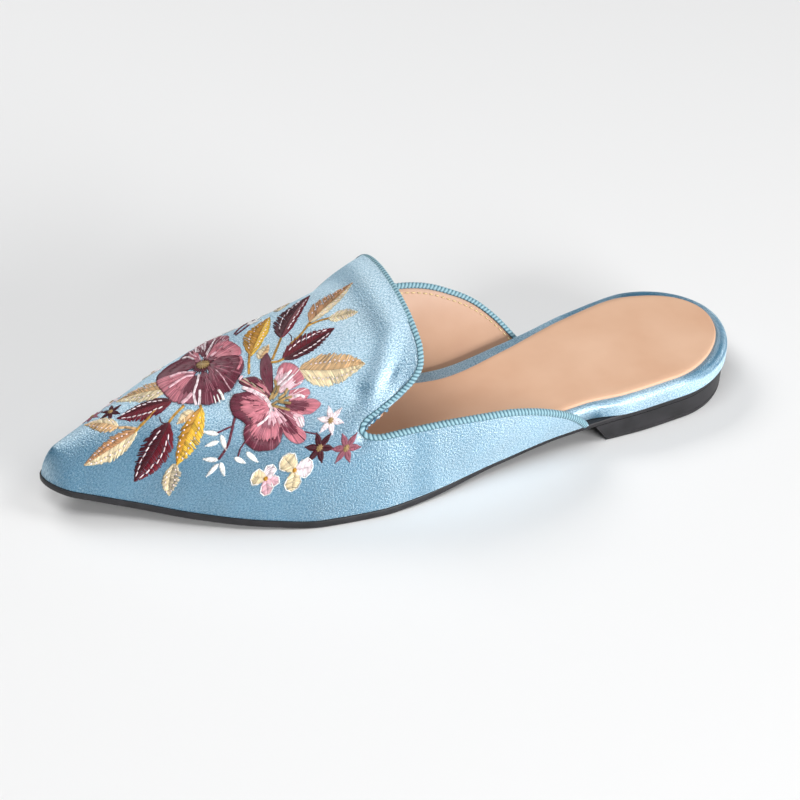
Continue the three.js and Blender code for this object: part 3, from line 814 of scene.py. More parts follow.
def grid_sheet(name: str, places: Array, cloth: Array) -> Piece:
    """Lays a primitive grid over a sheet of places.

    Args:
        name: name of the piece.
        places: rows by columns of places, mm.
        cloth: the same rows and columns of cloth coordinates, mm, for the UV map.

    Returns:
        The piece. Its faces look along the columns' direction crossed with the rows'.
    """
    rows, columns = places.shape[:2]
    clear_selection()
    bpy.ops.mesh.primitive_grid_add(x_subdivisions=columns - 1, y_subdivisions=rows - 1, size=MM)
    piece = bpy.context.active_object
    piece.name = piece.data.name = name
    mesh = piece.data
    mesh.vertices.foreach_set("co", (places * MM).astype(np.float32).ravel())
    corner = np.empty(len(mesh.loops), np.int32)
    mesh.loops.foreach_get("vertex_index", corner)
    spots = (cloth.reshape(-1, 2) * MM).astype(np.float32)
    mesh.uv_layers[0].data.foreach_set("uv", spots[corner].ravel())
    mesh.update()
    return piece


def edit(piece: Piece, *steps: Callable[[], object]) -> None:
    """Runs operators on the whole of a piece in edit mode.

    Args:
        piece: the piece.
        steps: calls without arguments, run in order with everything selected.
    """
    clear_selection()
    piece.select_set(True)
    bpy.context.view_layer.objects.active = piece
    bpy.ops.object.mode_set(mode="EDIT")
    for step in steps:
        bpy.ops.mesh.select_all(action="SELECT")
        step()
    bpy.ops.object.mode_set(mode="OBJECT")


def finish_with(piece: Piece, kind: str, **settings: object) -> None:
    """Adds a modifier and applies it.

    Args:
        piece: the piece.
        kind: the modifier's type.
        settings: its properties.
    """
    clear_selection()
    piece.select_set(True)
    bpy.context.view_layer.objects.active = piece
    modifier = piece.modifiers.new(kind.title(), kind)
    for key, value in settings.items():
        setattr(modifier, key, value)
    bpy.ops.object.modifier_apply(modifier=modifier.name)


def thicken(piece: Piece, thickness: float) -> None:
    """Gives a sheet a thickness in mm, grown from its outer side inwards."""
    finish_with(piece, "SOLIDIFY", thickness=thickness * MM, offset=-1.0, use_even_offset=False)


def weld() -> None:
    """Merges the selected vertices that lie on each other."""
    bpy.ops.mesh.remove_doubles(threshold=WELD)


def drop_slivers() -> None:
    """Removes the selected faces that have no area."""
    bpy.ops.mesh.dissolve_degenerate(threshold=SLIVER)


def face_out() -> None:
    """Turns the selected faces outwards."""
    bpy.ops.mesh.normals_make_consistent(inside=False)


def fill_ends() -> None:
    """Closes the open ends of the selected skin."""
    bpy.ops.mesh.fill_holes(sides=0)


def close_up(piece: Piece) -> None:
    """Merges a wrapped grid's seam and poles into one closed skin and turns its faces out."""
    edit(piece, weld, drop_slivers, face_out)


def smooth(piece: Piece, angle: float = 40.0) -> None:
    """Shades a piece smooth, with creases sharper than an angle in degrees left sharp.

    Args:
        piece: the piece.
        angle: degrees.
    """
    clear_selection()
    piece.select_set(True)
    bpy.context.view_layer.objects.active = piece
    bpy.ops.object.shade_smooth_by_angle(angle=math.radians(angle))


def mesh_piece(name: str, places: Array, faces: Array, cloth: Array | None = None) -> Piece:
    """A mesh of many small alike forms, from arrays.

    Args:
        name: name of the piece.
        places: one place for each vertex, mm.
        faces: rows of vertex numbers, three or four to a row.
        cloth: UV coordinates of each vertex, mm.

    Returns:
        The piece, smooth shaded.
    """
    mesh = bpy.data.meshes.new(name)
    count, sides = faces.shape
    mesh.vertices.add(len(places))
    mesh.vertices.foreach_set("co", (places * MM).astype(np.float32).ravel())
    mesh.loops.add(count * sides)
    mesh.loops.foreach_set("vertex_index", faces.astype(np.int32).ravel())
    mesh.polygons.add(count)
    mesh.polygons.foreach_set("loop_start", np.arange(count, dtype=np.int32) * sides)
    mesh.polygons.foreach_set("use_smooth", np.ones(count, bool))
    mesh.update(calc_edges=True)
    if cloth is not None:
        layer = mesh.uv_layers.new(name="UVMap")
        layer.data.foreach_set("uv", (cloth[faces.ravel()] * MM).astype(np.float32).ravel())
    piece = bpy.data.objects.new(name, mesh)
    bpy.context.scene.collection.objects.link(piece)
    return piece


def sewn(name: str, places: Array, out: Array, width: Array, height: Array, loft: float,
         colour: Array) -> Piece:
    """Threads as small raised forms, pointed at both ends, where they go into the cloth.

    Args:
        name: name of the piece.
        places: five places along each thread, at THREAD_SHARES.
        out: direction out of the cloth at each place.
        width: width of each thread, mm.
        height: how high each lies over the cloth, mm.
        loft: thickness of a thread, mm.
        colour: linear colour of each.

    Returns:
        The piece, with the dye of each thread, darkened by painted shade towards both ends, in an attribute.
    """
    count = len(places)
    ahead = unit(places[:, -1] - places[:, 0])[:, None]
    half = (width / 2)[:, None, None] * unit(np.cross(out, ahead))
    rise = np.array([-0.1, 0.74, 1.0, 0.74, -0.1]) * loft
    lift = out * height[:, None, None]
    core = places + lift + out * (rise * 0.4)[None, :, None]
    crown = places + lift + out * rise[None, :, None]
    ring = np.stack([places + half + lift, crown, places - half + lift, places - out * 0.15], axis=2)[:, 1:4]
    body = np.concatenate([core[:, :1], ring.reshape(count, 12, 3), core[:, -1:]], axis=1)
    sides = [(0, 1 + (k + 1) % 4, 1 + k) for k in range(4)]
    sides += [(13, 9 + k, 9 + (k + 1) % 4) for k in range(4)]
    for band in (1, 5):
        for k in range(4):
            a, b = band + k, band + (k + 1) % 4
            sides += [(a, b, b + 4), (a, b + 4, a + 4)]
    faces = np.array(sides)[None] + 14 * np.arange(count)[:, None, None]
    length = np.linalg.norm(places[:, -1] - places[:, 0], axis=1)
    run = np.concatenate([[0.0], np.repeat(THREAD_SHARES[1:4], 4), [1.0]])[None] * length[:, None]
    girth = np.concatenate([[0.3], np.tile([0.0, 0.3, 0.6, 0.9], 3), [0.3]])
    cloth = np.stack(np.broadcast_arrays(run, girth[None]), axis=-1).reshape(-1, 2)
    piece = mesh_piece(name, body.reshape(-1, 3), faces.reshape(-1, 3), cloth)
    # painted shade: each thread's colour is darkened towards both ends, where it dips into the cloth
    painted_end_shade = np.concatenate([[0.6], np.repeat([0.85, 1.0, 0.85], 4), [0.6]])
    dyed = np.ones((count, 14, 4), np.float32)
    dyed[..., :3] = (colour[:, None] * painted_end_shade[None, :, None]).clip(0, 1)
    layer = piece.data.attributes.new("dye", "FLOAT_COLOR", "POINT")
    layer.data.foreach_set("color", dyed.ravel())
    return piece


def dress(piece: Piece, material: Material, slot: str, *nodes: str) -> None:
    """Gives a finished piece its material and its body, and hides the nodes of the frame that it stands for.

    Args:
        piece: the piece.
        material: its finish.
        slot: not used.
        nodes: nodes of the frame that it replaces.
    """
    piece.data.materials.clear()
    piece.data.materials.append(material)
    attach(piece, BODY)
    if nodes:
        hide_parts(*nodes)
    LOG.info("%s: %d faces", piece.name, len(piece.data.polygons))


# Finishes


def linear(hex_colour: str) -> tuple[float, float, float, float]:
    """Turns an sRGB hex colour to linear light with alpha."""
    channels = [int(hex_colour[i : i + 2], 16) / 255 for i in (1, 3, 5)]
    return (*(c / 12.92 if c <= 0.04045 else ((c + 0.055) / 1.055) ** 2.4 for c in channels), 1.0)


def add(tree: Tree, kind: str, links: dict[str | int, object] | None = None,
        **settings: object) -> Node:
    """Adds a node with its settings, values and links.

    Args:
        tree: the material's node tree.
        kind: the node's type without its ShaderNode prefix.
        links: for each input, a value, or a node and the name of its output.
        settings: properties of the node.

    Returns:
        The node.
    """
    node = tree.nodes.new("ShaderNode" + kind)
    for key, value in settings.items():
        setattr(node, key, value)
    for key, value in (links or {}).items():
        if isinstance(value, tuple) and isinstance(value[0], Node):
            tree.links.new(value[0].outputs[value[1]], node.inputs[key])
        else:
            node.inputs[key].default_value = value
    return node


def ramp(tree: Tree, source: tuple, stops: Sequence[tuple[float, str]]) -> Node:
    """Adds a colour ramp over a source.

    Args:
        tree: the material's node tree.
        source: a node and the name of its output.
        stops: place and hex colour of each stop.

    Returns:
        The ramp node.
    """
    node = add(tree, "ValToRGB", {"Fac": source})
    stack = node.color_ramp.elements
    while len(stack) < len(stops):
        stack.new(0.5)
    for element, (place, colour) in zip(stack, stops):
        element.position, element.color = place, linear(colour)
    return node


def new_material(name: str) -> tuple[Material, Tree, Node]:
    """A material with its tree and shader."""
    material = bpy.data.materials.new(name)
    material.use_nodes = True
    return material, material.node_tree, material.node_tree.nodes["Principled BSDF"]


def link(tree: Tree, node: Node, output: str | int, target: Node, socket: str | int) -> None:
    """Links an output to an input."""
    tree.links.new(node.outputs[output], target.inputs[socket])


@dataclass(frozen=True)
class DuchesseSatin:
    """Heavy polyester satin, woven with long floats of bright yarn.

    The floats give broad, clear highlights with a soft grain, and a deeper blue where no light falls.
    """

    name: str = "duchesse_satin_weave"
    shade: str = "#25617F"
    body: str = "#397DA2"
    lit: str = "#569CBE"
    float_length: float = 0.7  # the real floats are 0.4 mm, too fine to show, so they are drawn coarser
    float_width: float = 0.45
    cloud: float = 17.0  # patches where the yarn lies a little differently

    def make(self) -> Material:
        """Builds the material.

        Returns:
            The material.
        """
        material, tree, shader = new_material(self.name)
        cloth = add(tree, "UVMap")
        floats = add(tree, "Mapping", {
            "Vector": (cloth, "UV"), "Scale": (1 / self.float_length / MM, 1 / self.float_width / MM, 1.0)})
        grain = add(tree, "TexNoise", {"Vector": (floats, 0), "Scale": 1.0, "Detail": 2.0, "Roughness": 0.6})
        clouds = add(tree, "TexNoise", {"Vector": (cloth, "UV"), "Scale": 1 / self.cloud / MM, "Detail": 2.0})
        tone = add(tree, "Math", {0: (grain, 0), 1: 0.62}, operation="MULTIPLY")
        tone = add(tree, "Math", {0: (clouds, 0), 1: 0.38, 2: (tone, 0)}, operation="MULTIPLY_ADD")
        colour = ramp(tree, (tone, 0), ((0.30, self.shade), (0.5, self.body), (0.72, self.lit)))
        gloss = add(tree, "MapRange", {"Value": (grain, 0), "From Min": 0.3, "From Max": 0.7,
                                       "To Min": 0.35, "To Max": 0.42})
        glint = add(tree, "MapRange", {"Value": (grain, 0), "From Min": 0.40, "From Max": 0.62,
                                       "To Min": 0.34, "To Max": 0.90})
        bump = add(tree, "Bump", {"Height": (grain, 0), "Strength": 1.0, "Distance": 0.26 * MM})
        tangent = add(tree, "Tangent", direction_type="UV_MAP")
        shader.inputs["IOR"].default_value = 4.0
        shader.inputs["Specular Tint"].default_value = linear("#E3F3F8")
        shader.inputs["Anisotropic"].default_value = 0.95
        shader.inputs["Anisotropic Rotation"].default_value = 0.25
        shader.inputs["Sheen Weight"].default_value = 0.1
        shader.inputs["Sheen Roughness"].default_value = 0.4
        shader.inputs["Sheen Tint"].default_value = linear("#D6EFFA")
        link(tree, colour, 0, shader, "Base Color")
        link(tree, gloss, 0, shader, "Roughness")
        link(tree, glint, 0, shader, "Specular IOR Level")
        link(tree, bump, 0, shader, "Normal")
        link(tree, tangent, 0, shader, "Tangent")
        return material


@dataclass(frozen=True)
class RibbedRibbon:
    """Grosgrain ribbon of dull yarn: thick ribs across it, with painted shade in the grooves and a painted
    highlight on the ridges.
    """

    name: str = "grosgrain_ribbon_woven"
    rib: str = "#6C97A6"
    # painted shade in the grooves between the ribs
    painted_groove_shade: str = "#2A5463"
    # painted highlight on the ridges of the ribs
    ridge: str = "#93B9C4"

    def make(self) -> Material:
        """Builds the material.

        Returns:
            The material.
        """
        material, tree, shader = new_material(self.name)
        height = add(tree, "Attribute", attribute_name="rib")
        # colour follows the rib height: painted shade in the grooves, painted highlight on the ridges
        colour = ramp(tree, (height, "Fac"), ((0.25, self.painted_groove_shade), (0.75, self.rib), (1.0, self.ridge)))
        cloth = add(tree, "UVMap")
        fine = add(tree, "TexNoise", {"Vector": (cloth, "UV"), "Scale": 1 / 0.35 / MM, "Detail": 1.0})
        bump = add(tree, "Bump", {"Height": (fine, 0), "Strength": 0.3, "Distance": 0.05 * MM})
        shader.inputs["Roughness"].default_value = 0.55
        shader.inputs["Sheen Weight"].default_value = 0.2
        link(tree, colour, 0, shader, "Base Color")
        link(tree, bump, 0, shader, "Normal")
        return material


@dataclass(frozen=True)
class LiningLeather:
    """Thin drum-dyed sheepskin with a plain finish: warm peach, a fine grain and a low gloss."""

    name: str = "lining_sheepskin_finished"
    deep: str = "#D6A98A"
    body: str = "#DCB294"
    pale: str = "#E2BA9D"
    grain: float = 0.9  # grain cells are 0.3 mm, drawn coarser to show
    patch: float = 30.0  # where the dye took a little more or less
    hollow: float = 9.0  # soft unevenness of the skin
    gloss: float = 0.5

    def make(self) -> Material:
        """Builds the material.

        Returns:
            The material.
        """
        material, tree, shader = new_material(self.name)
        place = add(tree, "TexCoord")
        patches = add(tree, "TexNoise", {"Vector": (place, "Object"), "Scale": 1 / self.patch / MM,
                                         "Detail": 3.0})
        colour = ramp(tree, (patches, 0), ((0.3, self.deep), (0.5, self.body), (0.72, self.pale)))
        cells = add(tree, "TexVoronoi", {"Vector": (place, "Object"), "Scale": 1 / self.grain / MM})
        soft = add(tree, "TexNoise", {"Vector": (place, "Object"), "Scale": 1 / self.hollow / MM,
                                      "Detail": 2.0})
        fine = add(tree, "Bump", {"Height": (cells, 0), "Strength": 0.12, "Distance": 0.06 * MM})
        bump = add(tree, "Bump", {"Height": (soft, 0), "Strength": 0.25, "Distance": 0.5 * MM,
                                  "Normal": (fine, 0)})
        shader.inputs["Roughness"].default_value = self.gloss
        shader.inputs["Specular IOR Level"].default_value = 0.4
        link(tree, colour, 0, shader, "Base Color")
        link(tree, bump, 0, shader, "Normal")
        return material


@dataclass(frozen=True)
class SoleRubber:
    """Moulded black rubber, buffed at the edge: nearly black, with a soft gloss and fine scuffs."""

    name: str = "sole_rubber_moulded"
    body: str = "#141316"
    dusty: str = "#28262A"
    tread: float = 1.6  # from ridge to ridge of the shallow tread underneath
    scuff: float = 6.0  # size of the dusty patches
    grit: float = 0.8  # the moulded grain

    def make(self) -> Material:
        """Builds the material.

        Returns:
            The material.
        """
        material, tree, shader = new_material(self.name)
        place = add(tree, "TexCoord")
        scuffs = add(tree, "TexNoise", {"Vector": (place, "Object"), "Scale": 1 / self.scuff / MM,
                                        "Detail": 4.0})
        colour = ramp(tree, (scuffs, 0), ((0.35, self.body), (0.75, self.dusty)))
        gloss = add(tree, "MapRange", {"Value": (scuffs, 0), "To Min": 0.34, "To Max": 0.56})
        grit = add(tree, "TexNoise", {"Vector": (place, "Object"), "Scale": 1 / self.grit / MM,
                                      "Detail": 2.0})
        faces = add(tree, "NewGeometry")
        upright = add(tree, "SeparateXYZ", {0: (faces, "True Normal")})
        below = add(tree, "MapRange", {"Value": (upright, 2), "From Min": -0.95, "From Max": -0.85,
                                       "To Min": 1.0, "To Max": 0.0})
        ridges = add(tree, "TexWave", {"Vector": (place, "Object"), "Scale": 0.3 / self.tread / MM},
                     bands_direction="X", wave_profile="TRI")
        tread = add(tree, "Math", {0: (ridges, 1), 1: (below, 0)}, operation="MULTIPLY")
        cut = add(tree, "Bump", {"Height": (tread, 0), "Strength": 0.8, "Distance": 0.3 * MM})
        bump = add(tree, "Bump", {"Height": (grit, 0), "Strength": 0.15, "Distance": 0.08 * MM,
                                  "Normal": (cut, 0)})
        link(tree, colour, 0, shader, "Base Color")
        link(tree, gloss, 0, shader, "Roughness")
        link(tree, bump, 0, shader, "Normal")
        return material


@dataclass(frozen=True)
class Thread:
    """Trilobal embroidery thread, loosely twisted: bright along its back, its dye, darkened by painted shade
    at the thread's ends, held by each stitch.
    """

    name: str = "rayon_thread_twisted"
    rough: float = 0.38
    twist: float = 3.2  # a turn of the yarn, drawn longer than it is, to show

    def make(self) -> Material:
        """Builds the material.

        Returns:
            The material.
        """
        material, tree, shader = new_material(self.name)
        # the dye attribute holds each thread's colour with painted shade at its ends
        dye = add(tree, "Attribute", attribute_name="dye")
        cloth = add(tree, "UVMap")
        twist = add(tree, "TexWave", {"Vector": (cloth, "UV"), "Scale": 1 / self.twist / MM,
                                      "Distortion": 0.6},
                    bands_direction="DIAGONAL")
        bump = add(tree, "Bump", {"Height": (twist, 1), "Strength": 0.25, "Distance": 0.05 * MM})
        shader.inputs["Roughness"].default_value = self.rough
        shader.inputs["Specular IOR Level"].default_value = 0.4
        shader.inputs["Sheen Weight"].default_value = 0.03
        link(tree, dye, "Color", shader, "Base Color")
        link(tree, bump, 0, shader, "Normal")
        return material


# Pieces


@dataclass
class Upper:
    """The satin cover and the leather lining, from the topline down to the feather edge."""

    last: Last
    topline: Topline
    skin_map: SkinMap
    cover_thickness: float = 0.85
    lining_depth: float = 1.8  # the whole wall
    lining_thickness: float = 0.9
    rows: int = 100
    lining_rows: int = 48
    rim_inset: float = 1.1  # the cover's own edge, hidden inside the binding
    tuck: float = 3.0  # turned under the last at the feather edge

    def spread(self, rows: int, every: int = 1) -> tuple[Array, Array]:
        """Lays lines from the topline over the form, down to the feather edge and the toe's tip.

        Args:
            rows: how many rows there are from edge to edge.
            every: which of the topline's samples are used.

        Returns:
            at and around of each grid point, rows by columns.
        """
        edge = {key: values[::every] for key, values in self.topline.samples.items()}
        reach = np.linspace(0, 1, rows)[:, None] ** 1.2
        start = self.last.skin(edge["at"], edge["around"])
        end = self.last.skin(edge["end_at"], edge["end_around"])
        length = np.linalg.norm(end - start, axis=1)
        first = np.clip(self.rim_inset / np.maximum(length, 1e-6), 0, 0.5)
        reach = first + (1 - first) * reach
        at = edge["at"] + (edge["end_at"] - edge["at"]) * np.sin(math.pi / 2 * reach)
        around = edge["around"] + (edge["end_around"] - edge["around"]) * reach
        return at, around

    def build_cover(self) -> Piece:
        """Makes the satin cover, turned under at the feather edge.

        Returns:
            The piece.
        """
        at, around = self.spread(self.rows)
        places = self.skin_map.dressed(at, around)
        cloth = self.skin_map.cloth(at, around)
        side = np.sign(around[-1:])
        under = places[-1:].copy()
        under[..., 2] -= 0.22
        tucked = self.last.skin(at[-1:], around[-1:], -self.tuck)
        tucked[..., 2] = under[..., 2]
        places = np.concatenate([places, under, tucked])
        fold = np.concatenate([np.zeros_like(side), side * self.tuck])[..., None] * np.array([0, 1.0])
        cloth = np.concatenate([cloth, cloth[-1:] + fold[:1], cloth[-1:] + fold[1:]])
        piece = grid_sheet("upper_satin", places, cloth)
        close_up(piece)
        thicken(piece, self.cover_thickness)
        smooth(piece, 60)
        return piece

    def build_lining(self) -> Piece:
        """Makes the leather lining on the inside of the cover.

        Returns:
            The piece.
        """
        at, around = self.spread(self.lining_rows, every=2)
        places = self.skin_map.dressed(at, around, -self.lining_depth)
        piece = grid_sheet("upper_lining", places[:, ::-1], self.skin_map.cloth(at, around)[:, ::-1])
        edit(piece, weld)
        thicken(piece, self.lining_thickness)
        smooth(piece, 60)
        return piece


@dataclass
class LiningSeam:
    """The row of cream stitches on the lining that holds the binding's inner edge."""

    upper: Upper
    below: float = 3.5  # from the topline
    stitch: float = 1.8
    pitch: float = 2.4
    thread: float = 0.6
    loft: float = 0.3
    clear: float = 0.02  # over the leather
    dye: str = "#E8CE9C"

    def build(self) -> Piece:
        """Sews the stitches one behind the other.

        Returns:
            The piece.
        """
        edge = self.upper.topline.samples
        last, depth = self.upper.last, -self.upper.lining_depth
        start = last.skin(edge["at"], edge["around"])
        end = last.skin(edge["end_at"], edge["end_around"])
        share = np.clip(self.below / np.linalg.norm(end - start, axis=1).clip(1e-6), 0.0, 1.0)
        at = edge["at"] + (edge["end_at"] - edge["at"]) * np.sin(math.pi / 2 * share)
        around = edge["around"] + (edge["end_around"] - edge["around"]) * share
        line, inwards = self.upper.skin_map.dressed(at, around, depth), -last.normal(at, around)
        long_enough = share < 0.5
        line, inwards = line[long_enough], inwards[long_enough]
        reach = along(line)
        spots = np.arange(0.5, reach[-1] - self.stitch, self.pitch)[:, None] + self.stitch * THREAD_SHARES
        count = len(spots)
        colour = np.repeat(np.array([linear(self.dye)[:3]]), count, axis=0)
        places, out = read_along(spots, reach, line), unit(read_along(spots, reach, inwards))
        width, height = np.full(count, self.thread), np.full(count, self.clear)
        return sewn("lining_stitches", places, out, width, height, self.loft, colour)


@dataclass
class Binding:
    """Grosgrain ribbon folded over the topline, sewn down on both sides."""

    topline: Topline
    width: float = 2.3
    proud: float = 0.4
    wall: float = 1.8
    rib_pitch: float = 1.5
    rib_height: float = 0.28
    rib_slant: float = 0.8
    samples_per_rib: int = 8

    def section(self) -> Array:
        """The ribbon's section: into the cloth, and out of the wall, mm, closed.

        Returns:
            Its points, in order round the ribbon.
        """
        outer, inner = self.proud, -self.wall - self.proud
        middle, half = (outer + inner) / 2, (outer - inner) / 2
        turn = np.linspace(math.pi / 2, -math.pi / 2, 9)
        nose = np.stack([1.15 - 1.15 * np.cos(turn), middle + half * np.sin(turn)], axis=1)
        outside = [(self.width, outer - 0.45), (self.width - 0.1, outer - 0.12), (self.width - 0.5, outer)]
        inside = [(self.width - 0.5, inner), (self.width - 0.1, inner + 0.12), (self.width, inner + 0.45)]
        core = [(1.4, inner + 0.5), (1.4, outer - 0.5)]
        return np.array([*outside, *nose, *inside, *core])

    def build(self) -> Piece:
        """Sweeps the section along the topline, with a rib at every pitch.

        Returns:
            The piece, with the height of the ribs in an attribute, which also carries painted shade along the
            sewn edges.
        """
        rail = self.topline.rail
        spot = rail["spot"]
        count = int(round(spot[-1] / self.rib_pitch)) * self.samples_per_rib
        even = np.linspace(0, spot[-1], count + 1)
        place, out, into = (read_along(even, spot, rail[key]) for key in ("place", "out", "into"))
        section = self.section()
        centre = section.mean(axis=0)
        leant = even[:, None] + self.rib_slant * section[None, :, 0] / self.width
        wave = np.abs(np.sin(math.pi * leant / self.rib_pitch)) ** 0.6
        shown = np.ones(len(section))
        shown[-2:] = 0
        away = unit(section - np.array([1.3, centre[1]]))
        swell = (self.rib_height * (wave - 1.0) * shown[None, :])[..., None] * away[None]
        shape = section[None] + swell
        places = place[:, None] + shape[..., :1] * into[:, None] + shape[..., 1:] * out[:, None]
        places = np.concatenate([places, places[:, :1]], axis=1)
        girth = along(np.concatenate([section, section[:1]]))
        cloth = np.stack(np.broadcast_arrays(even[:, None], girth[None, :]), axis=-1)
        piece = grid_sheet("binding_ribbon", places, cloth)
        wave[:, section[:, 0] > self.width - 0.2] *= 0.25  # painted shade: a dark line where the ribbon meets the cloth
        rib = np.concatenate([wave, wave[:, :1]], axis=1)
        layer = piece.data.attributes.new("rib", "FLOAT", "POINT")
        layer.data.foreach_set("value", rib.ravel().astype(np.float32))
        edit(piece, weld, fill_ends, face_out)
        smooth(piece, 50)
        return piece


@dataclass
class Embroidery:
    """Machine embroidery on the vamp: every thread is a small raised form that follows the cloth."""

    skin_map: SkinMap
    pitch: float = 0.42  # between neighbouring threads
    thread: float = 0.6
    loft: float = 0.3
    layer: float = 0.13  # how much higher what is stitched over something lies
    band: float = 3.8  # length of one row of long and short stitches
    uneven: float = 0.15  # how much one thread's dye differs from the next
    # random tone with painted glints: how much a metallic thread's colour differs from the next
    uneven_and_painted_glint: float = 0.22
    streaked: float = 0.13  # share of a petal's stitches in its streak's dye
    split_over: float = 3.4  # a leaf's half wider than this takes two rows of stitches
    ragged_over: float = 1.6  # one wider than this has a ragged edge
    seed: int = 11

    def __post_init__(self) -> None:
        """Starts the row of random draws that keeps the hand of the machine uneven."""
        self.draw = np.random.default_rng(self.seed)

    def threads(self, start: Array, end: Array, dyes: Sequence[Dye] | Dye, level: float,
                width: float | None = None) -> Array:
        """Rows of threads.

        Args:
            start: spots where the threads go in, on the cloth.
            end: spots where they come out.
            dyes: one dye, or one for each thread.
            level: how many layers they lie over.
            width: width of a thread, mm.

        Returns:
            A row for each thread: start, end, width, height over the cloth, and linear colour.
        """
        count = len(start)
        names = [dyes] * count if isinstance(dyes, Dye) else list(dyes)
        colour = np.array([linear(dye.value)[:3] for dye in names]).reshape(-1, 3)
        # metallic threads get a wider spread of brightness, standing in as painted glints
        uneven = np.array([[self.uneven_and_painted_glint if dye in METALLIC else self.uneven] for dye in names])
        colour = colour * (1 + uneven * self.draw.normal(0.0, 1.0, (count, 1))).clip(0.6, 1.6)
        size = np.full((count, 1), width or self.thread) * self.draw.uniform(0.9, 1.1, (count, 1))
        height = np.full((count, 1), level * self.layer) + self.draw.uniform(0, 0.05, (count, 1))
        return np.concatenate([start, end, size, height, colour], axis=1)

    def petal(self, petal: Petal, level: float) -> Array:
        """Fills a petal with long and short stitches from its rim in to its root.

        Args:
            petal: the petal.
            level: its layer.

        Returns:
            Its threads.
        """
        root, rim = np.array(petal.root), catmull_rom(np.array(petal.rim), 8)
        reach = along(rim)
        spots = np.linspace(0, reach[-1], int(reach[-1] / self.pitch))
        rays = read_along(spots, reach, rim) - root
        bands = max(len(petal.dyes), round(float(np.linalg.norm(rays, axis=1).mean()) / self.band))
        rows = []
        for band in range(bands):
            outer, inner = 1 - band / bands, 1 - (band + 1.25) / bands
            kept = rays[:: max(1, round(0.75 / max(outer, 0.2)))]
            ragged = self.draw.uniform(-0.3, 0.3, (2, len(kept), 1)) / bands
            start = np.clip(outer + ragged[0] * (0.12 if band == 0 else 1.0), 0.1, 1.0)
            end = np.clip(inner + ragged[1], 0.04, 0.9)
            shade = ((start + end) / 2 + self.draw.normal(0, 0.05, start.shape)).clip(0, 0.999)[:, 0]
            dyes = [petal.dyes[int(share * len(petal.dyes))] for share in shade]
            if petal.streak:
                picked = self.draw.random(len(kept)) < self.streaked
                dyes = [petal.streak if pick else dye for pick, dye in zip(picked, dyes)]
            rows.append(self.threads(root + kept * start, root + kept * end, dyes, level + 0.4 * (band % 2)))
        return np.concatenate(rows)

    def blade(self, blade: Blade, level: float) -> Array:
        """Fills both halves of a leaf or small petal with stitches that slant from its rib to its tip.

        Args:
            blade: the leaf.
            level: its layer.

        Returns:
            Its threads.
        """
        base, tip = np.array(blade.base), np.array(blade.tip)
        length = float(np.linalg.norm(tip - base))
        forward = (tip - base) / length
        left = np.array([-forward[1], forward[0]])
        power = math.log(0.5) / math.log(blade.belly)
        slant = 0.26

        def rib(share: Array) -> Array:
            """Spots of the rib at shares of its length."""
            return base + forward * share * length + left * blade.bow * np.sin(math.pi * share)

        def half(share: Array) -> Array:
            """Half width at shares of the length, as a share of the widest."""
            return np.sin(math.pi * np.clip(share, 0, 1) ** power) ** blade.blunt

        edge = np.linspace(0.03, 1.0, max(6, int(1.15 * length / self.pitch)))[:, None]
        middle = np.clip((edge - slant) / (1 - slant), 0.0, 0.97)
        rows = []
        for side, width, dye in ((1, blade.left, blade.dyes[0]), (-1, blade.right, blade.dyes[-1])):
            ragged = self.draw.uniform(0.84, 1.12, edge.shape) if width > self.ragged_over else 1.0
            outer = rib(edge) + side * width * half(edge) * ragged * left
            inner = rib(middle) - side * 0.25 * left
            if width > self.split_over:
                split = inner + (outer - inner) * self.draw.uniform(0.42, 0.6, edge.shape)
                rows.append(self.threads(inner, split + (outer - inner) * 0.06, dye, level))
                rows.append(self.threads(split, outer, dye, level + 0.3))
            else:
                rows.append(self.threads(inner, outer, dye, level))
            if blade.mark is not Mark.NONE:
                rows.append(self.marks(blade.mark, rib, side * left * width, half, length, level + 1.6))
        return np.concatenate(rows)

    def marks(self, mark: Mark, rib: Callable, reach: Array, half: Callable, length: float,
              level: float) -> Array:
        """Stitches the light dots or veins over half a leaf.

        Args:
            mark: which of them.
            rib: spots of the rib at shares.
            reach: from the rib to the widest place of the edge.
            half: half width at shares.
            length: length of the leaf, mm.
            level: layer of the marks.

        Returns:
            Their threads.
        """
        step, size, width = (1.9, 1.7, 0.48) if mark is Mark.VEINS else (1.7, 0.7, 0.5)
        share = np.arange(0.16, 0.86, step / length)[:, None]
        places = self.draw.uniform(0.42, 0.58, share.shape)
        spots = rib(share) + reach * half(share) * places
        ahead = rib(share + size / length) + reach * half(share + size / length) * (places + 0.06)
        return self.threads(spots, ahead, Dye.PEARL, level, width)

    def strand(self, strand: Strand, level: float) -> Array:
        """Lays a line of thread along its path, in as many lanes as its width needs.

        Args:
            strand: the line.
            level: its layer.

        Returns:
            Its threads.
        """
        curve = catmull_rom(np.array(strand.path), 8)
        reach = along(curve)
        count = max(1, round(reach[-1] / 2.4))
        knots = read_along(np.linspace(0, reach[-1], count + 1), reach, curve)
        forward = unit(np.diff(knots, axis=0))
        beside = np.stack([-forward[:, 1], forward[:, 0]], axis=1)
        lanes = max(1, round(strand.width / self.pitch))
        rows = []
        for lane in (np.arange(lanes) - (lanes - 1) / 2) * self.pitch * 0.9:
            shift = beside * lane
            rows.append(self.threads(knots[:-1] + shift - forward * 0.25, knots[1:] + shift + forward * 0.25,
                                     strand.dye, level, min(strand.width, self.thread)))
        return np.concatenate(rows)

    def knot(self, centre: Spot, size: float, dye: Dye, level: float) -> Array:
        """A boss of crossing stitches at the middle of a flower.

        Args:
            centre: its middle.
            size: its radius, mm.
            dye: its dye.
            level: its layer.

        Returns:
            Its threads.
        """
        turn = np.linspace(0, math.pi, max(4, int(size * 3)), endpoint=False)
        arm = np.stack([np.cos(turn), np.sin(turn)], axis=1) * size
        rows = [self.threads(centre - arm * k, centre + arm * k, dye, level + 0.5 * (1 - k))
                for k in (1.0, 0.6)]
        return np.concatenate(rows)

